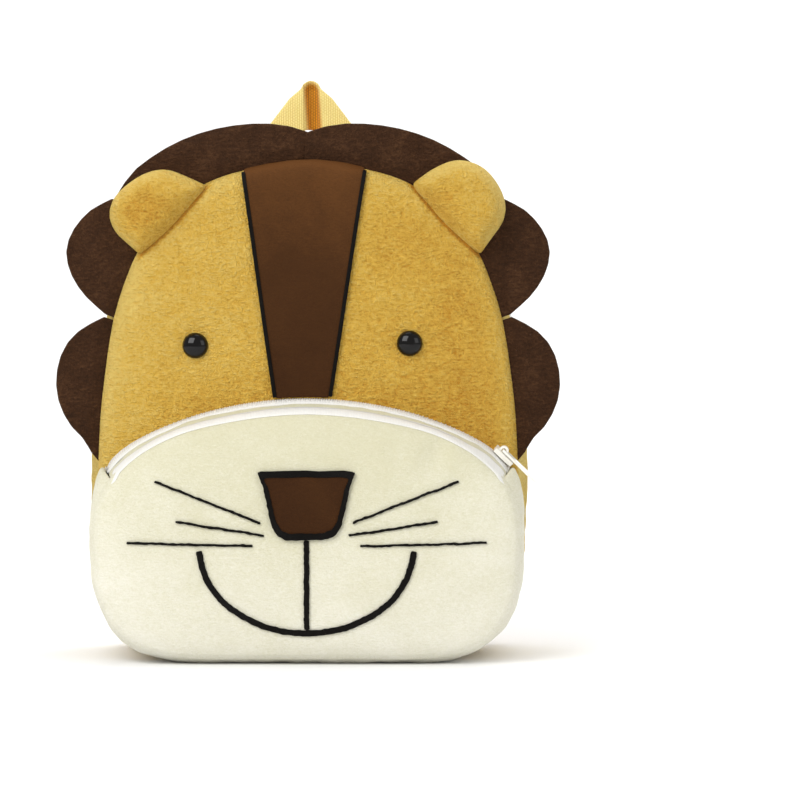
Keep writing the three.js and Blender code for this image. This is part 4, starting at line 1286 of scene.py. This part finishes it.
# Painted light: paler towards the top and darker low down, with a painted highlight along the top rim
up = (places[:, 2] - low.z) / (high.z - low.z)
rim = np.exp(-((np.clip(seam.depths(places), 0, 1) / stripeShape["rimWidth"]) ** 2))
tone = stripeShape["bottomTone"] + (stripeShape["topTone"] - stripeShape["bottomTone"]) * up**2
storeValues(stripe, "tone", tone + stripeShape["rimHighlight"] * rim)
dressed(stripe, brownPlush, ["forehead_stripe"])
for side in sides:
    edge = withFace(softCopy(f"threadStripe.{side}", f"stripe_edge_{side}", **threadCuts))
    places = placesOf(edge)
    slope, start = np.polyfit(places[:, 2], places[:, 0], 1)
    line = slope * places[:, 2] + start
    places[:, 0] = line + (places[:, 0] - line) * stripeShape["threadWidth"]
    grown = middle.z + (places[:, 2] - middle.z) * stripeShape["threadGrow"]
    places[:, 0] += slope * (grown - places[:, 2])
    places[:, 2] = grown
    places[:, 1] -= stripeShape["threadLift"]
    movePlaces(edge, places)
    storeAlong(edge, places[:, 2])
    dressed(edge, blackThread, [f"stripe_edge_{side}"])
report("forehead stripe")


# Eyes: a glossy bead on a thin washer
eyeShape = {
    "rings": 20,
    "around": 64,
    "rise": 0.0052,
    "washer": 0.0011,
    "washerRim": 0.0005,
    "grow": 1.06,
    "seat": 0.0008,
}


# A point on a rounded edge, its middle at the given radius and height
def onArc(radius, height, wide, high, turn):
    return (radius + wide * math.cos(turn), height + high * math.sin(turn))


def lathe(name, profile, around):
    shape = bmesh.new()
    rings = []
    for radius, height in profile:
        rings.append(
            [
                shape.verts.new(
                    (
                        radius * math.cos(k * 2 * math.pi / around),
                        -height,
                        radius * math.sin(k * 2 * math.pi / around),
                    )
                )
                for k in range(around)
            ]
        )
    for near, far in zip(rings, rings[1:]):
        for k in range(around):
            j = (k + 1) % around
            shape.faces.new((near[k], near[j], far[j], far[k]))
    shape.faces.new(rings[0])
    shape.faces.new(rings[-1])
    bmesh.ops.recalc_face_normals(shape, faces=shape.faces)
    piece = pieceFrom(name, shape)
    shadeSmooth(piece)
    return piece


for side in sides:
    low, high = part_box(f"eye_{side}")
    radius = (high.x - low.x) / 2 * eyeShape["grow"]
    profile = [(radius * 0.9, -0.001), (radius, 0), (radius, eyeShape["washer"] * 0.7)]
    rim = eyeShape["washerRim"]
    washer = eyeShape["washer"]
    turns = np.linspace(0, math.pi / 2, 5)[1:]
    profile += [onArc(radius - rim, washer * 0.7, rim, washer * 0.3, turn) for turn in turns]
    turns = np.linspace(0.02, math.pi / 2 - 0.02, eyeShape["rings"])
    rise = eyeShape["rise"] - washer
    profile += [onArc(1e-6, washer * 0.9, radius - rim * 0.35, rise, turn) for turn in turns]
    bead = lathe(f"eyeBead.{side}", profile, eyeShape["around"])
    middle = (low + high) / 2
    seat = np.array([[middle.x + radius * 0.7, 0, middle.z]])
    bead.location = (middle.x, high.y + faceShift(seat)[0] + eyeShape["seat"], middle.z)
    dressed(bead, plastics["eyeBead"], [f"eye_{side}"])
report("eyes")


# Nose, mouth and whiskers on the pocket
noseMiddle = sum(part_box("nose_outline"), Vector()) / 2
_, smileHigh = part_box("smile_line")
noseShape = {
    "grow": 1.05,
    "tone": -0.45,
    "outlineRadius": 0.022,
    "smileRadius": 0.05,
    "threadLift": 0.0006,
    "threadSway": 0.0003,
    "threadFray": 0.00022,
}
plushNose = withPocket(softCopy("plushNose", "nose_patch", **threadCuts))
places = placesOf(plushNose)
places[:, 0] *= noseShape["grow"]
places[:, 2] = noseMiddle.z + (places[:, 2] - noseMiddle.z) * noseShape["grow"]
movePlaces(plushNose, places)
storeValues(plushNose, "tone", np.full(len(places), noseShape["tone"]))
dressed(plushNose, brownPlush, ["nose_patch"])
threads = ["nose_outline", "smile_line", "mouth_line"]
threads += [f"whisker_{side}_{i}" for side in sides for i in (1, 2, 3)]
for node in threads:
    name = "thread" + "".join(word.capitalize() for word in node.split("_"))
    thread = withPocket(softCopy(name, node, **threadCuts))
    places = placesOf(thread)
    swing = softWaves(flattened(places), 0.014, 90) * noseShape["threadSway"]
    fray = softWaves(flattened(places), 0.0024, 91) * noseShape["threadFray"]
    places += flattened(normalsOf(thread)) * fray[:, None]
    places[:, 2] += swing
    if node == "nose_outline":
        places[:, 1] -= noseShape["threadLift"]
        along = np.arctan2(places[:, 2] - noseMiddle.z, places[:, 0]) * noseShape["outlineRadius"]
    elif node == "smile_line":
        along = np.arctan2(places[:, 2] - smileHigh.z, places[:, 0]) * noseShape["smileRadius"]
    elif node == "mouth_line":
        along = places[:, 2]
    else:
        along = places[:, 0]
    movePlaces(thread, places)
    storeAlong(thread, along)
    dressed(thread, blackThread, [node])
report("nose and stitching")


strapShape = {
    "cell": 0.0032,
    "relax": 2,
    "cap": 0.0026,
    "unevenness": 0.0008,
    "pucker": 0.0004,
    "topTone": 0.55,
    "lowTone": -0.35,
    "rimHighlight": 0.6,
    "rimWidth": 0.0035,
    "seamInside": 0.0034,
    "seamDepth": 0.0007,
    "seamWidth": 0.0009,
}
for i, side in enumerate(sides):
    node = f"strap_{side}"
    low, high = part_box(node)
    strap = evenCopy(f"plushStrap.{side}", node, strapShape["cell"], strapShape["relax"])
    places = placesOf(strap)
    held = np.clip((places[:, 2] - high.z + 0.008) / 0.004, 0, 1)
    strap = subdivided(blownUp(strap, strapShape["cap"], held), 2)
    places = placesOf(strap)
    normals = normalsOf(strap)
    inside = insideHull(places)
    lift = strapShape["unevenness"] * softWaves(places, 0.045, 70 + i)
    lift += strapShape["pucker"] * softWaves(places, 0.009, 72 + i)
    groove = np.exp(-(((inside - strapShape["seamInside"]) / strapShape["seamWidth"]) ** 2))
    lift -= strapShape["seamDepth"] * groove
    movePlaces(strap, places + normals * lift[:, None])
    # Painted light: paler towards the top and darker low down, with a painted highlight along the edges
    up = (places[:, 2] - low.z) / (high.z - low.z)
    tone = strapShape["lowTone"] + (strapShape["topTone"] - strapShape["lowTone"]) * up**1.5
    tone += strapShape["rimHighlight"] * np.exp(-((inside / strapShape["rimWidth"]) ** 2))
    storeValues(strap, "tone", tone)
    dressed(strap, strapPlush, [node])
report("shoulder straps")


# Handle: one strip of webbing folded over at its corners
handleShape = {
    "cell": 0.0007,
    "relax": 5,
    "bow": 0.0018,
    "unevenness": 0.0004,
    "foldHeight": 0.274,
    "innerHalf": 0.0029,
    "innerSet": 0.0042,
    "innerLean": 0.0022,
    "legTone": 0.75,
    "stretch": 0.0018,
    "topRound": 0.0034,
    "topHalf": 0.0055,
}
handle = evenCopy("webbingHandle", "handle", handleShape["cell"], handleShape["relax"])
low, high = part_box("handle")
places = placesOf(handle)
rise = (places[:, 2] - low.z) / (high.z - low.z)
places[:, 1] -= handleShape["bow"] * np.sin(np.clip(rise, 0, 1) * math.pi)
places[:, 1] += handleShape["unevenness"] * softWaves(places, 0.02, 80)
fold = handleShape["foldHeight"]
upper = np.clip((places[:, 2] - fold) / (high.z - fold), 0, 1)
away = np.abs(places[:, 0] - handleShape["innerLean"] * (1 - upper))
middle = np.clip(1.6 - away / handleShape["innerHalf"], 0, 1) * (upper > 0) * np.clip((1 - upper) * 6, 0, 1)
front = normalsOf(handle)[:, 1] < 0.5
places[:, 1] += handleShape["innerSet"] * middle
places[:, 2] += handleShape["stretch"] * upper
corner = np.clip(np.abs(places[:, 0]) / handleShape["topHalf"], 0, 1) ** 2
places[:, 2] -= handleShape["topRound"] * corner * np.clip(upper * 3 - 2, 0, 1)
movePlaces(handle, places)
# The inside of the fold is painted darker orange as shade; the back faces of the legs below the fold get the
# same colour
legs = np.clip((fold + 0.001 - places[:, 2]) / 0.0012, 0, 1) * (normalsOf(handle)[:, 1] > 0)
inner = np.maximum(np.clip(middle * 1.8, 0, 1) * front, legs * handleShape["legTone"])
storeValues(handle, "inner", inner)
dressed(handle, handleCloth, ["handle"])
report("handle")


# A piece that keeps its solid, with its edges rounded
def dressNode(node, material, bevel):
    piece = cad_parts[node]
    piece.data.materials.clear()
    piece.data.materials.append(material)
    if bevel:
        rounding = piece.modifiers.new("rounding", "BEVEL")
        rounding.width = bevel
        rounding.segments = 3
        rounding.limit_method = "ANGLE"
        rounding.angle_limit = math.radians(35)
        rounding.harden_normals = False
    shadeSmooth(piece)


for side in sides:
    dressNode(f"strap_tail_{side}", webbingCloth, 0.0003)
    dressNode(f"strap_anchor_{side}", webbingCloth, 0.0003)
    dressNode(f"buckle_{side}", plastics["beigePlastic"], 0.0007)
dressNode("pocket_zip_slider", plastics["whitePlastic"], 0.0003)
dressNode("pocket_zip_pull", plastics["whitePlastic"], 0.0002)
dressNode("main_zip_slider", plastics["whitePlastic"], 0.0004)
report("buckles, webbing and sliders")


studio = {
    "floorSize": 3.0,
    "floorRise": [(-1.5, 0), (0.5, 0), (0.7, 0.02), (0.85, 0.1), (0.93, 0.25), (0.95, 0.6), (0.95, 2.0)],
    "worldStrength": 0.55,
    "lens": 200,
    "distance": 2.3,
    "elevation": 2.5,
    "aim": (0.0478, -0.045, 0.1353),
}
softboxes = {
    "keyLight": {"place": (-0.7, -1.1, 1.0), "aim": (0, 0, 0.12), "size": (1.0, 1.0), "power": 17.5},
    "fillLight": {"place": (1.1, -0.9, 0.6), "aim": (0, 0, 0.12), "size": (0.8, 0.8), "power": 3.5},
    "backLight": {"place": (0.6, 0.8, 0.7), "aim": (0, 0, 0.12), "size": (0.6, 0.6), "power": 4.0},
    "topLight": {"place": (0.0, 0.2, 1.3), "aim": (0, 0, 0.1), "size": (0.9, 0.6), "power": 5.5},
}


# The floor rises behind the bag and is clear when seen from its far side
def floorMaterial():
    material = bpy.data.materials.new("paleFloor")
    material.use_nodes = True
    tree = material.node_tree
    n = Nodes(tree)
    place = n.add("ShaderNodeTexCoord").outputs["Object"]
    cloud = n.noise(place, 3.0, 3.0, 0.5)
    shader = tree.nodes["Principled BSDF"]
    n.put(shader.inputs["Base Color"], n.mix(cloud, (0.86, 0.86, 0.86, 1), (0.92, 0.92, 0.92, 1)))
    n.put(shader.inputs["Roughness"], n.ramp(cloud, 0.0, 1.0, 0.75, 0.9))
    clear = tree.nodes.new("ShaderNodeBsdfTransparent")
    facing = tree.nodes.new("ShaderNodeNewGeometry")
    both = tree.nodes.new("ShaderNodeMixShader")
    n.put(both.inputs[0], facing.outputs["Backfacing"])
    n.put(both.inputs[1], shader.outputs[0])
    n.put(both.inputs[2], clear.outputs[0])
    n.put(tree.nodes["Material Output"].inputs["Surface"], both.outputs[0])
    return material


def makeFloor():
    shape = bmesh.new()
    half = studio["floorSize"] / 2
    rows = []
    for y, z in studio["floorRise"]:
        rows.append([shape.verts.new((x, y, z)) for x in (-half, half)])
    for near, far in zip(rows, rows[1:]):
        shape.faces.new((near[0], near[1], far[1], far[0]))
    floor = pieceFrom("floor", shape)
    shadeSmooth(floor)
    floor.data.materials.append(floorMaterial())


def softbox(name, place, aim, size, power):
    light = bpy.data.lights.new(name, "AREA")
    light.shape = "RECTANGLE"
    light.size, light.size_y = size
    light.energy = power
    lamp = bpy.data.objects.new(name, light)
    bpy.context.scene.collection.objects.link(lamp)
    lamp.location = place
    lamp.rotation_euler = (Vector(aim) - Vector(place)).to_track_quat("-Z", "Y").to_euler()


makeFloor()
for name, values in softboxes.items():
    softbox(name, **values)
world = bpy.data.worlds.new("studio")
world.use_nodes = True
world.node_tree.nodes["Background"].inputs["Color"].default_value = (1, 1, 1, 1)
sky = Nodes(world.node_tree)
seen = sky.add("ShaderNodeLightPath").outputs["Is Camera Ray"]
brightness = sky.ramp(seen, 0.0, 1.0, studio["worldStrength"], 1.0)
sky.put(world.node_tree.nodes["Background"].inputs["Strength"], brightness)
bpy.context.scene.world = world

lens = bpy.data.cameras.new("camera")
lens.lens = studio["lens"]
camera = bpy.data.objects.new("camera", lens)
bpy.context.scene.collection.objects.link(camera)
aim = Vector(studio["aim"])
lift = math.radians(studio["elevation"])
camera.location = aim + Vector((0, -math.cos(lift), math.sin(lift))) * studio["distance"]
camera.rotation_euler = (aim - camera.location).to_track_quat("-Z", "Y").to_euler()
bpy.context.scene.camera = camera
bpy.context.scene.view_settings.view_transform = "Standard"
report("floor, light and camera")
